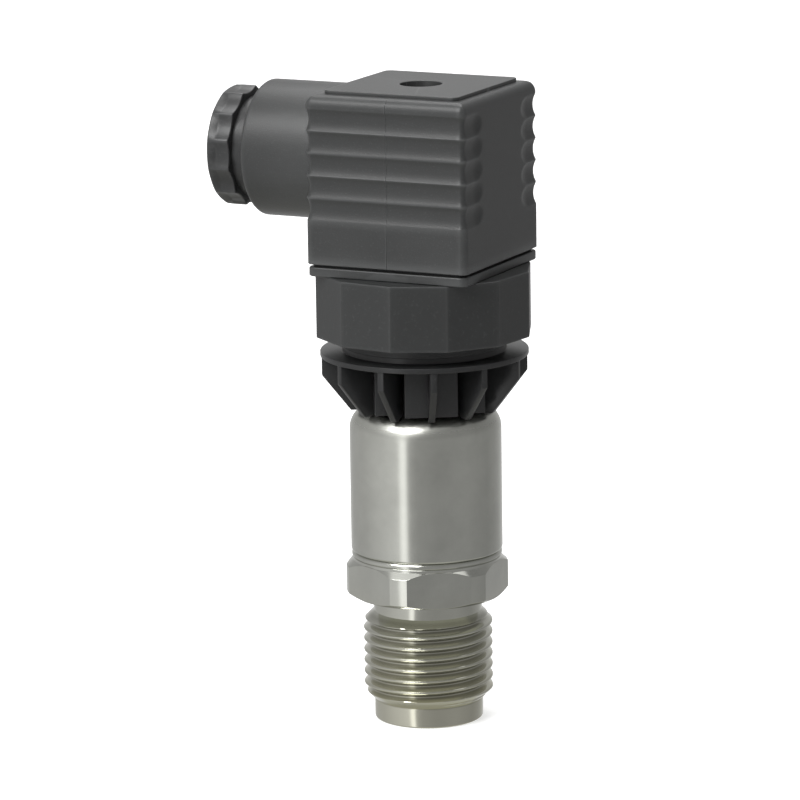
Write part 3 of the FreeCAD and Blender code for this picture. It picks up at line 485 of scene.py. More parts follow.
def fitting_angles():
    """Angles of the six flats and of the turned arcs that round the hexagon's corners."""
    half = math.radians(30) - math.acos(HEX_FLATS / 2 / HEX_CORNER)
    width = math.radians(60) - 2 * half
    angles = []
    for side in range(6):
        corner = HEX_TURN + side * math.radians(60)
        angles += [corner - half + 2 * half * step / 6 for step in range(6)]
        angles += [corner + half + width * step / 18 for step in range(18)]
    return angles


def hexagon_radius(angle):
    off = (angle - HEX_TURN) % math.radians(60) - math.radians(30)
    return min(HEX_FLATS / 2 / math.cos(off), HEX_CORNER)


def fitting_section(angle):
    """From the thread's head over the hexagon and the weld bead, down inside and back to the thread's foot."""
    reach = hexagon_radius(angle)
    rise = (reach - LOW_CHAMFER) * math.tan(LOW_ANGLE)
    drop = max(0.0, reach - LAND) * math.tan(TOP_ANGLE)
    outline = [
        (NECK, THREAD_HEAD, 0), (NECK, HEX_LOW, 0.25), (LOW_CHAMFER, HEX_LOW, 0.1), (reach, HEX_LOW + rise, 0.12),
        (reach, HEX_HIGH - drop, 0.10), (min(reach, LAND) - 0.06, HEX_HIGH + 0.02, 0.02),
        (LAND - 0.08, HEX_HIGH + 0.1, 0.05), (LAND - 0.02, HEX_HIGH + 0.48, 0.1),
        (LAND - 0.2, HEX_HIGH + 0.58, 0.06), (LAND + 0.06, HEX_HIGH + 0.66, 0.25),
        (LAND + 0.06, WELD_TOP - 0.06, 0.5), (LAND - 0.45, WELD_TOP - 0.02, 0.04), (SPIGOT, WELD_TOP, 0),
        (SPIGOT, SPIGOT_TOP, 0.1), (POCKET, SPIGOT_TOP, 0.1), (POCKET, POCKET_FLOOR, 0), (PORT, POCKET_FLOOR, 0),
        (PORT, 0.0, 0.25), (PLAIN_END, 0.0, 0.4), (PLAIN_END, THREAD_FOOT - 0.14, 0.05), (NECK, THREAD_FOOT, 0)]
    return rounded(outline, 4, closed=False)


def thread_envelope(height):
    """Largest radius at a height: lead cone below, run-out cone above."""
    return max(NECK, min(THREAD_MAJOR, NECK + (height - THREAD_FOOT) * 0.98, NECK + (THREAD_HEAD - height) * 1.03))


def thread_radius(settings, angle, height):
    pitch, depth = settings.pitch / MM, settings.depth / MM
    crest = settings.crest_height / MM + (angle - settings.crest_turn) / math.tau * pitch
    away = abs((height - crest) / pitch - round((height - crest) / pitch))
    flank = (0.5 - 2 * away) * pitch * 0.96
    soft = flank / (1 + abs(flank / (depth / 2)) ** 5) ** 0.2
    return THREAD_MAJOR - depth / 2 + soft


def add_thread(mesh, settings, angles):
    """Rows of points that climb with the thread, so that its crest is a clean line."""
    pitch = settings.pitch / MM
    steps = settings.steps
    bottom = THREAD_FOOT - pitch
    count = math.ceil((THREAD_HEAD - bottom) / pitch * steps) + steps + 1
    columns = []
    for angle in angles:
        column = []
        for step in range(count):
            free = bottom + pitch * (step / steps + (angle - angles[0]) / math.tau)
            height = min(max(free, THREAD_FOOT), THREAD_HEAD)
            radius = min(thread_radius(settings, angle, free), thread_envelope(height))
            column.append(mesh.verts.new((radius * math.cos(angle) * MM, radius * math.sin(angle) * MM,
                                          height * MM)))
        columns.append(column)
    for index, column in enumerate(columns):
        last = index == len(columns) - 1
        following, skip = (columns[0], steps) if last else (columns[index + 1], 0)
        for step in range(count - 1 - skip):
            mesh.faces.new((column[step], following[step + skip], following[step + skip + 1], column[step + 1]))


class TRANSMITTER_OT_fitting(bpy.types.Operator):
    """Steel process fitting with its pipe thread and hexagon"""
    bl_idname = "transmitter.fitting"
    bl_label = "Process fitting"

    def execute(self, context):
        scene = context.scene
        mesh = bmesh.new()
        angles = fitting_angles()
        add_turned(mesh, fitting_section, angles, closed=False)
        add_thread(mesh, scene.transmitter_thread, angles)
        bmesh.ops.remove_doubles(mesh, verts=mesh.verts, dist=0.002 * MM)
        bmesh.ops.dissolve_degenerate(mesh, edges=mesh.edges, dist=0.001 * MM)
        steel = turned_steel("fitting_steel", scene.transmitter_finish.steel, 0.135, 0.16, 0.002)
        piece("fitting_turned", mesh, "sensor", steel, ["process_fitting"], crease=16.0)
        return {"FINISHED"}


# ---- can

CAN_OVERLAP = 0.1
CAN_WALL = 0.9
CAN_SHOULDER = 3.6
CAN_MOUTH = 7.0
CAN_DULL_DROP = 4.0


class TRANSMITTER_OT_can(bpy.types.Operator):
    """Drawn steel can with its rounded shoulder"""
    bl_idname = "transmitter.can"
    bl_label = "Sensor can"

    def execute(self, context):
        low, high = span("sensor_can", "z")
        radius = span("sensor_can", "x")[1] + CAN_OVERLAP
        inner, roof = radius - CAN_WALL, high - CAN_WALL
        outline = rounded([
            (radius, low, 0.55), (radius, high, CAN_SHOULDER), (CAN_MOUTH, high, 0.1), (CAN_MOUTH, roof, 0.1),
            (inner, roof, 2.8), (inner, low, 0)], 14)
        mesh = bmesh.new()
        add_turned(mesh, outline, even_angles(192))
        steel = turned_steel("can_steel", context.scene.transmitter_finish.steel, 0.17, 0.10, 0.0015,
                             dull_from=high - CAN_DULL_DROP)
        piece("can_shell", mesh, "sensor", steel, ["sensor_can"])
        return {"FINISHED"}


# ---- collar

COLLAR_TURN = 30.5
COLLAR_BORE, COLLAR_SPIGOT, COLLAR_SEAT = 5.6, 6.95, 9.0
COLLAR_RIM, COLLAR_RING = 16.75, 13.2
FIN_COUNT = 12
FIN_THICKNESS = 1.1
FIN_REACH = 16.55


class TRANSMITTER_OT_collar(bpy.types.Operator):
    """Cooling collar: rim disc, stepped core and thin fins"""
    bl_idname = "transmitter.collar"
    bl_label = "Cooling collar"

    def execute(self, context):
        foot, top = span("cooling_collar", "z")
        seat = span("sensor_can", "z")[1]
        rim_low, rim_high = top - 1.75, top - 0.9
        mesh = bmesh.new()
        add_turned(mesh, rounded([
            (COLLAR_BORE, foot, 0), (COLLAR_SPIGOT, foot, 0.1), (COLLAR_SPIGOT, seat, 0), (COLLAR_SEAT, seat, 0),
            (COLLAR_SEAT, rim_low, 0), (COLLAR_RIM, rim_low, 0.12), (COLLAR_RIM, rim_high, 0.18),
            (COLLAR_RING, rim_high, 0.1), (COLLAR_RING, top, 0.1), (COLLAR_BORE, top, 0)], 3), even_angles(160))
        quarter = [(4.25, 11.6), (4.25, 7.2), (6.4, 7.2), (6.4, 9.1), (8.8, 9.1)]
        right = [(x, -y) for x, y in quarter] + quarter[::-1]
        core = right + [(-x, -y) for x, y in right]
        core_low = seat + 0.3
        add_prism(mesh, core, rim_low - core_low + 0.1, turn(COLLAR_TURN) @ shift(0, 0, core_low), 0.15)
        fin = [(6.0, core_low), (9.6, core_low), (10.6, seat - 0.4), (12.0, seat - 0.4),
               (FIN_REACH, rim_low - 3.05), (FIN_REACH, rim_low + 0.1), (6.0, rim_low + 0.1)]
        for index in range(FIN_COUNT):
            aim = turn(COLLAR_TURN + 360 / FIN_COUNT * index)
            place = aim @ turn(90, "X") @ shift(0, 0, -FIN_THICKNESS / 2)
            add_prism(mesh, fin, FIN_THICKNESS, place, 0.12)
        black = moulded("collar_plastic", context.scene.transmitter_finish.collar, 0.30, 0.5, 0.008, 0.0)
        piece("collar_fins", mesh, "sensor", black, ["cooling_collar"], crease=25.0)
        return {"FINISHED"}


# ---- adapter

ADAPTER_SIDES = 12
ADAPTER_FLATS = 34.0
ADAPTER_TURN = math.radians(7.7)
ADAPTER_CORNER = ADAPTER_FLATS / 2 / math.cos(math.pi / ADAPTER_SIDES) - 0.02
STEM, STEM_BORE = 5.5, 4.0
ADAPTER_NECK = 13.2
CUP_HEIGHT = 10.6
CUP_MOUTH, CUP_STEP = 14.0, 12.0
MOUTH_DEPTH, CUP_DEPTH = 6.1, 9.0


def cup_radius(angle):
    """Distance to the side of the cup's polygon, its corners cut to a radius."""
    sector = math.tau / ADAPTER_SIDES
    off = (angle - ADAPTER_TURN) % sector - sector / 2
    return min(ADAPTER_FLATS / 2 / math.cos(off), ADAPTER_CORNER)


def cup_angles():
    half = math.pi / ADAPTER_SIDES - math.acos(ADAPTER_FLATS / 2 / ADAPTER_CORNER)
    width = math.tau / ADAPTER_SIDES - 2 * half
    angles = []
    for side in range(ADAPTER_SIDES):
        first = ADAPTER_TURN + side * math.tau / ADAPTER_SIDES + half
        angles += [first + width * part for part in (0, 0.04, 0.2, 0.4, 0.6, 0.8, 0.96, 1)]
    return angles


class TRANSMITTER_OT_adapter(bpy.types.Operator):
    """Twelve-sided adapter cup on its round neck"""
    bl_idname = "transmitter.adapter"
    bl_label = "Adapter"

    def execute(self, context):
        low, high = span("adapter_body", "z")
        neck_low, cup_low = span("cooling_collar", "z")[1], high - CUP_HEIGHT
        ledge, floor = high - MOUTH_DEPTH, high - CUP_DEPTH

        def section(angle):
            reach = cup_radius(angle)
            return rounded([
                (STEM_BORE, low, 0), (STEM, low, 0.2), (STEM, neck_low, 0), (ADAPTER_NECK, neck_low, 0),
                (ADAPTER_NECK, cup_low, 0.1), (reach, cup_low, 0.22), (reach, high, 0.22), (CUP_MOUTH, high, 0),
                (CUP_MOUTH, ledge, 0), (CUP_STEP, ledge, 0), (CUP_STEP, floor, 0), (STEM_BORE, floor, 0)],
                3, margin=0.35)

        mesh = bmesh.new()
        add_turned(mesh, section, cup_angles())
        grey = moulded("adapter_plastic", context.scene.transmitter_finish.adapter, 0.40, 0.6, 0.012, 0.9, 0.08)
        piece("adapter_cup", mesh, "sensor", grey, ["adapter_body"], crease=12.0)
        return {"FINISHED"}


# ---- rounded squares, for the carrier and the hood

def square_stations(count=36, extra=(), corner_steps=6):
    """Stations round a rounded square: ("side", quarter, place from -1 to 1) or ("corner", quarter, angle)."""
    stations = []
    places = [-1 + 2 * step / count for step in range(count)]
    for quarter in range(4):
        marks = sorted(places + list(extra)) if quarter == 0 else places
        stations += [("side", quarter, place) for place in marks]
        stations += [("corner", quarter, step / corner_steps) for step in range(corner_steps)]
    return stations


def square_point(station, half, corner):
    """Point and outward normal at a station. Quarter 0 is the -Y side and the rest follow anticlockwise."""
    kind, quarter, place = station
    straight = half - corner
    if kind == "side":
        point, normal = Vector((place * straight, -half)), Vector((0, -1))
    else:
        angle = math.radians(-90 + 90 * place)
        normal = Vector((math.cos(angle), math.sin(angle)))
        point = Vector((straight, -straight)) + normal * corner
    spin = Matrix.Rotation(math.radians(90 * quarter), 2)
    return spin @ point, spin @ normal


def square_ring(stations, half, corner, height):
    return [(*square_point(station, half, corner)[0], height) for station in stations]


def round_ring(stations, radius, height):
    """A circle whose points stand in the same directions as the square's stations."""
    ring = []
    for station in stations:
        point = square_point(station, 13.5, 1.2)[0]
        ring.append((*(point.normalized() * radius), height))
    return ring


BUSH_HOLE = 3.05
CARRIER_FOOT = 13.8
CARRIER_CORNER = 1.3
CARRIER_EDGE = 0.28


class TRANSMITTER_OT_carrier(bpy.types.Operator):
    """Square pin carrier under the plug"""
    bl_idname = "transmitter.carrier"
    bl_label = "Pin carrier"

    def execute(self, context):
        low, high = span("adapter_body", "z")[1], span("profile_gasket", "z")[0]
        boss, top = span("pin_carrier", "z")
        half, corner = span("pin_carrier", "x")[1], CARRIER_CORNER
        stations = square_stations(12)
        rings = [round_ring(stations, BUSH_HOLE, boss), round_ring(stations, CARRIER_FOOT, boss),
                 round_ring(stations, CARRIER_FOOT, low), square_ring(stations, half - 0.15, corner - 0.1, low),
                 square_ring(stations, half, corner, low + 0.15)]
        for step in range(5):
            angle = math.pi / 2 * step / 4
            inset = CARRIER_EDGE * (1 - math.cos(angle))
            drop = CARRIER_EDGE * (1 - math.sin(angle))
            rings.append(square_ring(stations, half - inset, corner - inset, high - drop))
        rings += [square_ring(stations, half - 0.6, corner - 0.5, high), square_ring(stations, 10.6, 0.8, high),
                  square_ring(stations, 10.2, 0.6, high), square_ring(stations, 10.2, 0.6, top - 0.2),
                  square_ring(stations, 10.0, 0.5, top), round_ring(stations, BUSH_HOLE, top)]
        mesh = bmesh.new()
        add_skin(mesh, rings)
        grey = moulded("carrier_plastic", context.scene.transmitter_finish.adapter, 0.36, 0.5, 0.01, 1.0)
        piece("carrier_plate", mesh, "sensor", grey, ["pin_carrier"])
        return {"FINISHED"}


# ---- hood

HOOD_HALF = 14.0
HOOD_EDGE = 1.8
PAD_HALF, PAD_HEIGHT = 11.7, 0.6
WELL, WELL_DEPTH = 3.39, 6.3
BOSS, BOSS_DROP = 4.3, 14.1
SCREW_BORE = 1.8
ROOF_DROP = 2.4
HOOD_INNER, HOOD_MOUTH = 12.2, 13.5
TUBE_RADIUS, TUBE_BORE, TUBE_WAY = 11.0, 8.3, 6.0
TUBE_START = 12.25
TUBE_RIM_INSET, TUBE_SEAT_DEPTH = 0.85, 13.4
DRILL_PLACE, DRILL_LENGTH = 12.6, 4.0
SEAM_DEPTH, SEAM_HALF = 0.07, 0.03
GRIP_TOP = 3.85
GRIP_HALF_WIDTH = 1.76
GRIP_WRAP = 2.6
GRIP_FLARE = 8.0


def grip_depth(settings, station, point, height, shoulder):
    """How far the hood's skin is sunk by the grip grooves at one point."""
    depth, pitch = settings.groove_depth / MM, settings.groove_pitch / MM
    kind, quarter, place = station
    straight = HOOD_HALF - settings.corner / MM
    fade = 0.0
    if kind == "side" and quarter % 2:
        run = straight - abs(point.y)
        fade = max(0.0, run - GRIP_WRAP) ** 2 / (2 * GRIP_FLARE)
    index = round((shoulder - GRIP_TOP - height) / pitch)
    index = min(max(index, 0), settings.groove_count - 1)
    away = height - (shoulder - GRIP_TOP - index * pitch)
    radius = (GRIP_HALF_WIDTH ** 2 + depth ** 2) / (2 * depth)
    if abs(away) >= radius:
        return 0.0
    sunk = depth + math.sqrt(radius ** 2 - away ** 2) - radius - fade
    soft = 0.04
    return max(0.0, 0.5 * (sunk + math.sqrt(sunk ** 2 + soft ** 2)) - 0.004)


def hood_rings(settings, stations, low, shoulder, top):
    """Rings of the hood's whole skin: up the outside, over the pad, down the well and down inside."""
    corner = settings.corner / MM
    pitch = settings.groove_pitch / MM
    edge, pad = HOOD_EDGE, PAD_HALF
    heights = [low + 0.1, low + 1.5, low + 4.0, low + 6.0]
    grips_low = shoulder - GRIP_TOP - pitch * (settings.groove_count - 0.5)
    grips_high = shoulder - edge
    steps = 104
    heights += [grips_low + (grips_high - grips_low) * step / steps for step in range(steps + 1)]
    rings = [square_ring(stations, HOOD_HALF - 0.08, corner - 0.08, low)]
    seam = settings.seam_offset / MM
    outline = [(height, 0.0) for height in heights]
    outline += [(grips_high + edge * math.sin(math.pi / 2 * step / 10), edge * (1 - math.cos(math.pi / 2 * step / 10)))
                for step in range(1, 11)]
    for height, inset in outline:
        ring = []
        for station in stations:
            point, normal = square_point(station, HOOD_HALF - inset, max(0.3, corner - inset))
            sunk = 0.0 if height < grips_low else grip_depth(settings, station, point, height, shoulder)
            if station[1] == 0 and station[0] == "side" and abs(point.x - seam) < SEAM_HALF:
                sunk += SEAM_DEPTH
            ring.append((*(point - normal * sunk), height))
        rings.append(ring)
    rings += [square_ring(stations, pad + 0.03, 1.2, shoulder), square_ring(stations, pad, 1.2, shoulder + 0.03),
              square_ring(stations, pad, 1.2, top - 0.10), square_ring(stations, pad - 0.04, 1.16, top - 0.03),
              square_ring(stations, pad - 0.12, 1.1, top)]
    well, inner, mouth = WELL, HOOD_INNER, HOOD_MOUTH
    seat, boss_low, roof = top - WELL_DEPTH, top - BOSS_DROP, shoulder - ROOF_DROP
    rings += [square_ring(stations, pad - 0.5, 1.0, top), round_ring(stations, well + 0.5, top),
              round_ring(stations, well + 0.12, top), round_ring(stations, well + 0.03, top - 0.05),
              round_ring(stations, well, top - 0.15), round_ring(stations, well, seat),
              round_ring(stations, SCREW_BORE, seat), round_ring(stations, SCREW_BORE, boss_low),
              round_ring(stations, BOSS, boss_low), round_ring(stations, BOSS, roof),
              square_ring(stations, inner, 0.5, roof), square_ring(stations, inner, 0.5, low + 0.6),
              square_ring(stations, mouth, 0.9, low + 0.6), square_ring(stations, mouth, 0.9, low)]
    return rings


def cut_by(thing, cutter):
    """Cuts one object out of another and removes the cutter."""
    modifier = thing.modifiers.new("way", "BOOLEAN")
    modifier.operation = "DIFFERENCE"
    modifier.solver = "EXACT"
    modifier.object = cutter
    graph = bpy.context.evaluated_depsgraph_get()
    cut = bpy.data.meshes.new_from_object(thing.evaluated_get(graph))
    thing.modifiers.clear()
    old = thing.data
    thing.data = cut
    bpy.data.meshes.remove(old)
    data = cutter.data
    bpy.data.objects.remove(cutter)
    bpy.data.meshes.remove(data)


def gland_axis():
    return sum(span("thrust_ring", "z")) / 2


def to_gland(mesh):
    """Lays a mesh turned about Z along the gland: its +Z becomes -X, at the gland's height."""
    bmesh.ops.transform(mesh, matrix=shift(0, 0, gland_axis()) @ turn(-90, "Y"), verts=mesh.verts)


class TRANSMITTER_OT_hood(bpy.types.Operator):
    """Square plug hood with its grip grooves, screw well and cable tube"""
    bl_idname = "transmitter.hood"
    bl_label = "Plug hood"

    def execute(self, context):
        settings = context.scene.transmitter_hood
        low, top = span("profile_gasket", "z")[0] + 0.45, span("plug_housing", "z")[1]
        shoulder = top - PAD_HEIGHT
        straight = HOOD_HALF - settings.corner / MM
        seam = settings.seam_offset / MM
        marks = [(seam + off) / straight for off in (-0.09, -0.045, -0.015, 0.015, 0.045, 0.09)]
        stations = square_stations(64, marks, 8)
        mesh = bmesh.new()
        add_skin(mesh, hood_rings(settings, stations, low, shoulder, top))
        grey = moulded("hood_plastic", context.scene.transmitter_finish.hood, 0.36, 0.24, 0.024, 1.6, speckle=0.35)
        hood = piece("hood_shell", mesh, "plug", grey, ["plug_housing"], crease=38.0)
        drill = bmesh.new()
        bmesh.ops.create_cone(drill, cap_ends=True, segments=64, radius1=TUBE_WAY * MM, radius2=TUBE_WAY * MM,
                              depth=DRILL_LENGTH * MM, matrix=shift(0, 0, DRILL_PLACE))
        to_gland(drill)
        data = bpy.data.meshes.new("drill")
        drill.to_mesh(data)
        drill.free()
        cutter = bpy.data.objects.new("drill", data)
        context.scene.collection.objects.link(cutter)
        cut_by(hood, cutter)
        tube = bmesh.new()
        end = -span("plug_housing", "x")[0]
        rim, seat = end - TUBE_RIM_INSET, end - TUBE_SEAT_DEPTH
        add_turned(tube, rounded([
            (TUBE_RADIUS, TUBE_START, 0), (TUBE_RADIUS, rim, 0.6), (TUBE_BORE, rim, 0.15), (TUBE_BORE, seat, 0),
            (TUBE_WAY, seat, 0), (TUBE_WAY, TUBE_START, 0)], 8, margin=0.4), even_angles(160))
        to_gland(tube)
        piece("hood_cable_tube", tube, "plug", grey, crease=30.0)
        return {"FINISHED"}


# ---- gland nut

NUT_CREST, NUT_FLOOR = 9.75, 9.05
NUT_HEAD = 3.85
NUT_BORE, NUT_SPIGOT = 5.2, 8.23
FLUTE_RADIUS, FLUTE_COUNT = 5.4, 13
FLUTE_SOFT = 0.10
FIRST_FLUTE = math.radians(261.5)


def flute_radius(angle):
    """Radius of the nut's fluted head, its ridges slightly softened."""
    reach = NUT_FLOOR + FLUTE_RADIUS
    off = (angle - FIRST_FLUTE + math.pi / FLUTE_COUNT) % (math.tau / FLUTE_COUNT) - math.pi / FLUTE_COUNT
    across = reach * math.sin(off)
    if abs(across) >= FLUTE_RADIUS:
        return NUT_CREST
    over = NUT_CREST - (reach * math.cos(off) - math.sqrt(FLUTE_RADIUS ** 2 - across ** 2))
    return NUT_CREST - 0.5 * (over + math.sqrt(over ** 2 + FLUTE_SOFT ** 2)) + FLUTE_SOFT / 2 - 0.03


class TRANSMITTER_OT_gland(bpy.types.Operator):
    """Fluted gland nut"""
    bl_idname = "transmitter.gland"
    bl_label = "Gland nut"

    def execute(self, context):
        low, high = span("gland_nut", "x")
        end, spigot_end = -low, -high
        head = end - NUT_HEAD

        def section(angle):
            radius = flute_radius(angle)
            return rounded([
                (NUT_BORE, spigot_end, 0.2), (NUT_SPIGOT, spigot_end, 0.3), (NUT_SPIGOT, head, 0),
                (radius, head, 0.25), (radius, end - 1.5, 1.2), (NUT_CREST - 0.08, end, 0.35),
                (NUT_BORE, end, 0.4)], 5)

        mesh = bmesh.new()
        add_turned(mesh, section, even_angles(FLUTE_COUNT * 24))
        bmesh.ops.transform(mesh, matrix=turn(90), verts=mesh.verts)
        to_gland(mesh)
        black = moulded("gland_plastic", context.scene.transmitter_finish.gland, 0.33, 0.5, 0.008, 1.2)
        piece("gland_nut_fluted", mesh, "nut", black, ["gland_nut"], crease=35.0)
        return {"FINISHED"}


# ---- CAD nodes that keep their own shape

class TRANSMITTER_OT_inner(bpy.types.Operator):
    """Materials for the CAD pieces that keep their own shape"""
    bl_idname = "transmitter.inner"
    bl_label = "Inner pieces"

    def execute(self, context):
        finish = context.scene.transmitter_finish
        steel = plain_metal("plated_steel", (0.62, 0.61, 0.58), 0.34)
        brass = plain_metal("machined_brass", finish.brass, 0.30)
        tin = plain_metal("tinned_metal", (0.74, 0.73, 0.70), 0.30)
        gold = plain_metal("gold_plate", (0.83, 0.62, 0.28), 0.28)
        seal = rubber("seal_rubber", finish.rubber)
        board = circuit_board("board_resist", (0.012, 0.10, 0.045), (0.10, 0.22, 0.10))
        chip = moulded("chip_epoxy", (0.02, 0.02, 0.022), 0.5, 0.1, 0.004)
        insert = moulded("insert_plastic", (0.03, 0.031, 0.033), 0.42)
        black = moulded("ring_plastic", finish.gland, 0.33)
        cell = ceramic("cell_ceramic", (0.82, 0.80, 0.74))
        looks = {
            "cell_seal": seal, "collar_seal": seal, "profile_gasket": seal, "gland_seal": seal,
            "measuring_cell": cell, "cell_lock_ring": steel, "stem_nut": steel, "screw_washer": steel,
            "centre_screw": steel, "terminal_screws": steel, "main_board": board, "top_board": board,
            "amplifier_chip": chip, "capacitors": chip, "cell_pins": gold, "thrust_ring": black,
            "terminal_insert": insert, "screw_bush": brass, "earth_contact": brass, "earth_pin": tin}
        for index in (1, 2, 3):
            looks[f"terminal_contact_{index}"] = brass
            looks[f"contact_pin_{index}"] = tin
        for index in (1, 2, 3, 4):
            looks[f"lead_wire_{index}"] = tin
        for node, material in looks.items():
            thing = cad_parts[node]
            for slot in thing.material_slots:
                slot.material = material
            if not thing.material_slots:
                thing.data.materials.append(material)
        return {"FINISHED"}


# ---- stage

CARD_LIGHT = 1.6
LOW_LIGHT = 0.50
SKY_SHARE = 0.85
SKY_FADE = (40.0, 260.0)
KEY_LAMP = {"degrees": -42, "distance": 0.95, "height": 0.95, "size": 0.85, "watts": 15.0}
TOP_LAMP = {"degrees": 170, "distance": 0.5, "height": 1.2, "size": 0.9, "watts": 8.0}
LAMP_AIM = (0, 0, 0.05)
ROOM_LIGHT = 0.22
FLOOR_GLOW = 0.55
FLOOR_DROP = 0.05
CARDS = (  # degrees to the right of the camera's direction, light
    (-180, 0.80), (-150, 0.48), (-110, 0.52), (-80, 0.64), (-55, 0.72), (-43, 0.78), (-38.5, 1.45), (-31.5, 1.45),
    (-28, 0.50), (-15, 0.38), (15, 0.33), (60, 0.36), (105, 0.30), (128, 0.36), (137, 0.40),
    (152, 0.50), (166, 0.66), (180, 0.80))


def from_camera(settings, degrees, distance, height):
    """A point round the sensor axis, measured to the right of the camera's direction."""
    angle = settings.azimuth + math.radians(degrees)
    return Vector((math.sin(angle) * distance, -math.cos(angle) * distance, height))


def area_lamp(name, settings, degrees, distance, height, size, watts):
    """A square lamp aimed at the part's lower half."""
    data = bpy.data.lights.new(name, "AREA")
    data.shape = "RECTANGLE"
    data.size = data.size_y = size
    data.energy = watts
    lamp = bpy.data.objects.new(name, data)
    bpy.context.scene.collection.objects.link(lamp)
    lamp.location = from_camera(settings, degrees, distance, height)
    lamp.rotation_euler = (Vector(LAMP_AIM) - lamp.location).to_track_quat("-Z", "Y").to_euler()


def card(name, profile, graph, material, light, settings):
    """A turned studio card that only reflections show."""
    shader = graph.make("ShaderNodeEmission", {}, {"Color": light, "Strength": CARD_LIGHT})
    graph.make("ShaderNodeOutputMaterial", {}, (shader,))
    mesh = bmesh.new()
    add_turned(mesh, profile, even_angles(72), closed=False)
    data = bpy.data.meshes.new(name)
    mesh.to_mesh(data)
    mesh.free()
    data.materials.append(material)
    thing = bpy.data.objects.new(name, data)
    thing.rotation_euler.z = settings.azimuth
    bpy.context.scene.collection.objects.link(thing)
    for ray in ("camera", "diffuse", "transmission", "volume_scatter", "shadow"):
        setattr(thing, "visible_" + ray, False)


def surround(settings):
    """Studio cards all round and below; the light of the wall follows the angle from the camera."""
    material, graph = new_graph("wall_card")
    across, along, up = (graph.make("ShaderNodeSeparateXYZ", {}, (graph.place(),), output=axis)
                         for axis in range(3))
    angle = graph.make("ShaderNodeMath", {"operation": "ARCTAN2"}, (across, along * -1.0))
    ramp = [((degrees + 180) / 360, solid((1, 1, 1), level / CARD_LIGHT)) for degrees, level in CARDS]
    cards = graph.make("ShaderNodeValToRGB", {"stops": ramp}, (angle / math.tau + 0.5,))
    fall = 1.0 - band(up, SKY_FADE) * (1 - SKY_SHARE)
    cards = graph.mix(fall, solid((0, 0, 0)), cards)
    card("wall_card", [(1100, -900), (1100, 900), (800, 1300)], graph, material, cards, settings)
    material, graph = new_graph("low_card")
    low_light = solid((1.0, 1.0, 0.92), LOW_LIGHT / CARD_LIGHT)
    card("low_card", [(1, -901), (1099, -901)], graph, material, low_light, settings)


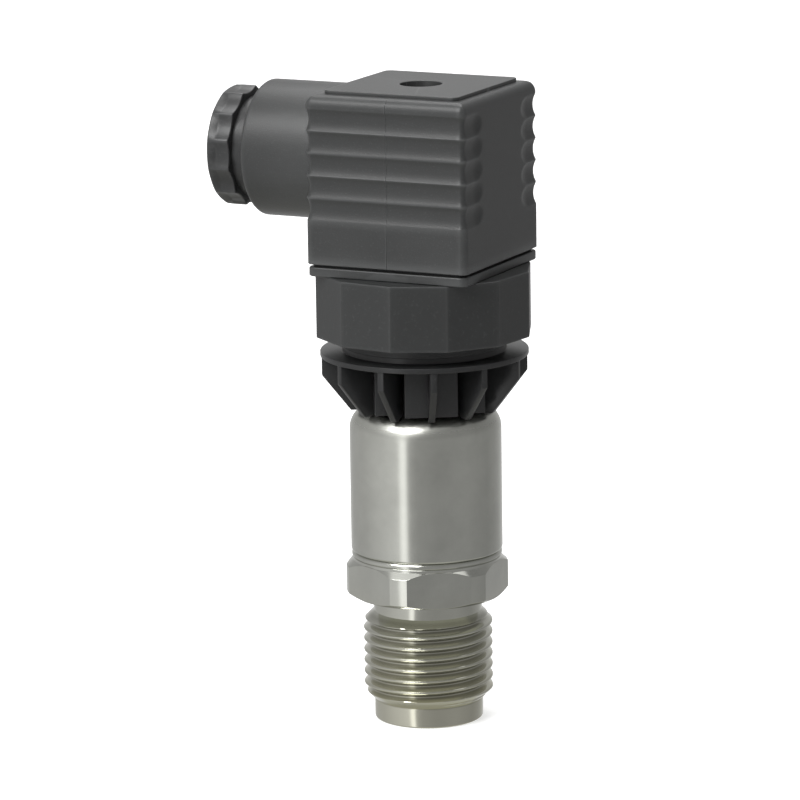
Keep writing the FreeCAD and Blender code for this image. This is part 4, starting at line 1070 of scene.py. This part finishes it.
class TRANSMITTER_OT_stage(bpy.types.Operator):
    """Pale floor, studio walls, lamps and the camera"""
    bl_idname = "transmitter.stage"
    bl_label = "Stage and camera"

    def execute(self, context):
        scene = context.scene
        settings = scene.transmitter_studio
        self.make_camera(scene, settings)
        self.make_world(scene)
        self.make_floor(scene)
        surround(settings)
        area_lamp("key_lamp", settings, **KEY_LAMP)
        area_lamp("top_lamp", settings, **TOP_LAMP)
        scene.view_settings.view_transform = "Standard"
        return {"FINISHED"}

    @staticmethod
    def make_camera(scene, settings):
        azimuth, elevation = settings.azimuth, settings.elevation
        right = Vector((math.cos(azimuth), math.sin(azimuth), 0))
        toward = Vector((math.sin(azimuth), -math.cos(azimuth), 0))
        back = toward * math.cos(elevation) + Vector((0, 0, math.sin(elevation)))
        up = back.cross(right)
        roll = settings.roll
        across = right * math.cos(roll) + up * math.sin(roll)
        upward = up * math.cos(roll) - right * math.sin(roll)
        place = right * settings.shift + toward * settings.distance + Vector((0, 0, settings.height))
        data = bpy.data.cameras.new("camera")
        data.lens = settings.lens
        data.sensor_width = 36.0
        data.clip_start, data.clip_end = 0.05, 20.0
        camera = bpy.data.objects.new("camera", data)
        scene.collection.objects.link(camera)
        camera.matrix_world = Matrix.Translation(place) @ Matrix((across, upward, back)).transposed().to_4x4()
        scene.camera = camera

    @staticmethod
    def make_world(scene):
        world = bpy.data.worlds.new("studio")
        scene.world = world
        world.use_nodes = True
        world.node_tree.nodes.clear()
        graph = Graph(world.node_tree)
        seen = graph.seen()
        light = graph.make("ShaderNodeBackground", {}, {"Color": (1, 1, 1, 1), "Strength": ROOM_LIGHT})
        white = graph.make("ShaderNodeBackground", {}, {"Color": (1, 1, 1, 1), "Strength": 1.0})
        shader = graph.make("ShaderNodeMixShader", {}, (seen, light, white))
        graph.make("ShaderNodeOutputWorld", {}, (shader,))

    @staticmethod
    def make_floor(scene):
        mesh = bmesh.new()
        bmesh.ops.create_grid(mesh, x_segments=8, y_segments=8, size=3.0)
        data = bpy.data.meshes.new("floor")
        mesh.to_mesh(data)
        mesh.free()
        material, graph = new_graph("floor_white")
        seen = graph.seen()
        paint = graph.make("ShaderNodeBsdfDiffuse", {}, {"Color": (0.9, 0.9, 0.9, 1)})
        white = graph.make("ShaderNodeEmission", {}, {"Color": (1, 1, 1, 1), "Strength": FLOOR_GLOW})
        lit = graph.make("ShaderNodeAddShader", {}, (paint, white))
        shader = graph.make("ShaderNodeMixShader", {}, (seen, paint, lit))
        graph.make("ShaderNodeOutputMaterial", {}, (shader,))
        data.materials.append(material)
        floor = bpy.data.objects.new("floor", data)
        floor.location.z = cad_box[0][2] - FLOOR_DROP * MM
        floor.visible_glossy = False
        scene.collection.objects.link(floor)


class TRANSMITTER_PT_panel(bpy.types.Panel):
    """The transmitter's settings and building steps"""
    bl_idname = "TRANSMITTER_PT_panel"
    bl_label = "Pressure transmitter"
    bl_space_type = "VIEW_3D"
    bl_region_type = "UI"
    bl_category = "Transmitter"

    def draw(self, context):
        for name, group in SETTINGS.items():
            box = self.layout.box()
            for setting in group.__annotations__:
                box.prop(getattr(context.scene, name), setting)
        for operator in OPERATORS:
            self.layout.operator(operator.bl_idname)


SETTINGS = {
    "transmitter_finish": TransmitterFinish,
    "transmitter_thread": TransmitterThread,
    "transmitter_hood": TransmitterHood,
    "transmitter_studio": TransmitterStudio,
}
OPERATORS = (TRANSMITTER_OT_stage, TRANSMITTER_OT_fitting, TRANSMITTER_OT_can, TRANSMITTER_OT_collar,
             TRANSMITTER_OT_adapter, TRANSMITTER_OT_carrier, TRANSMITTER_OT_hood, TRANSMITTER_OT_gland,
             TRANSMITTER_OT_inner)


def register():
    for cls in (*SETTINGS.values(), *OPERATORS, TRANSMITTER_PT_panel):
        bpy.utils.register_class(cls)
    for name, group in SETTINGS.items():
        setattr(bpy.types.Scene, name, PointerProperty(type=group))


def unregister():
    for name in SETTINGS:
        delattr(bpy.types.Scene, name)
    for cls in reversed((*SETTINGS.values(), *OPERATORS, TRANSMITTER_PT_panel)):
        bpy.utils.unregister_class(cls)


def main():
    register()
    for operator in OPERATORS:
        group, name = operator.bl_idname.split(".")
        getattr(getattr(bpy.ops, group), name)()


if __name__ == "__main__":
    main()
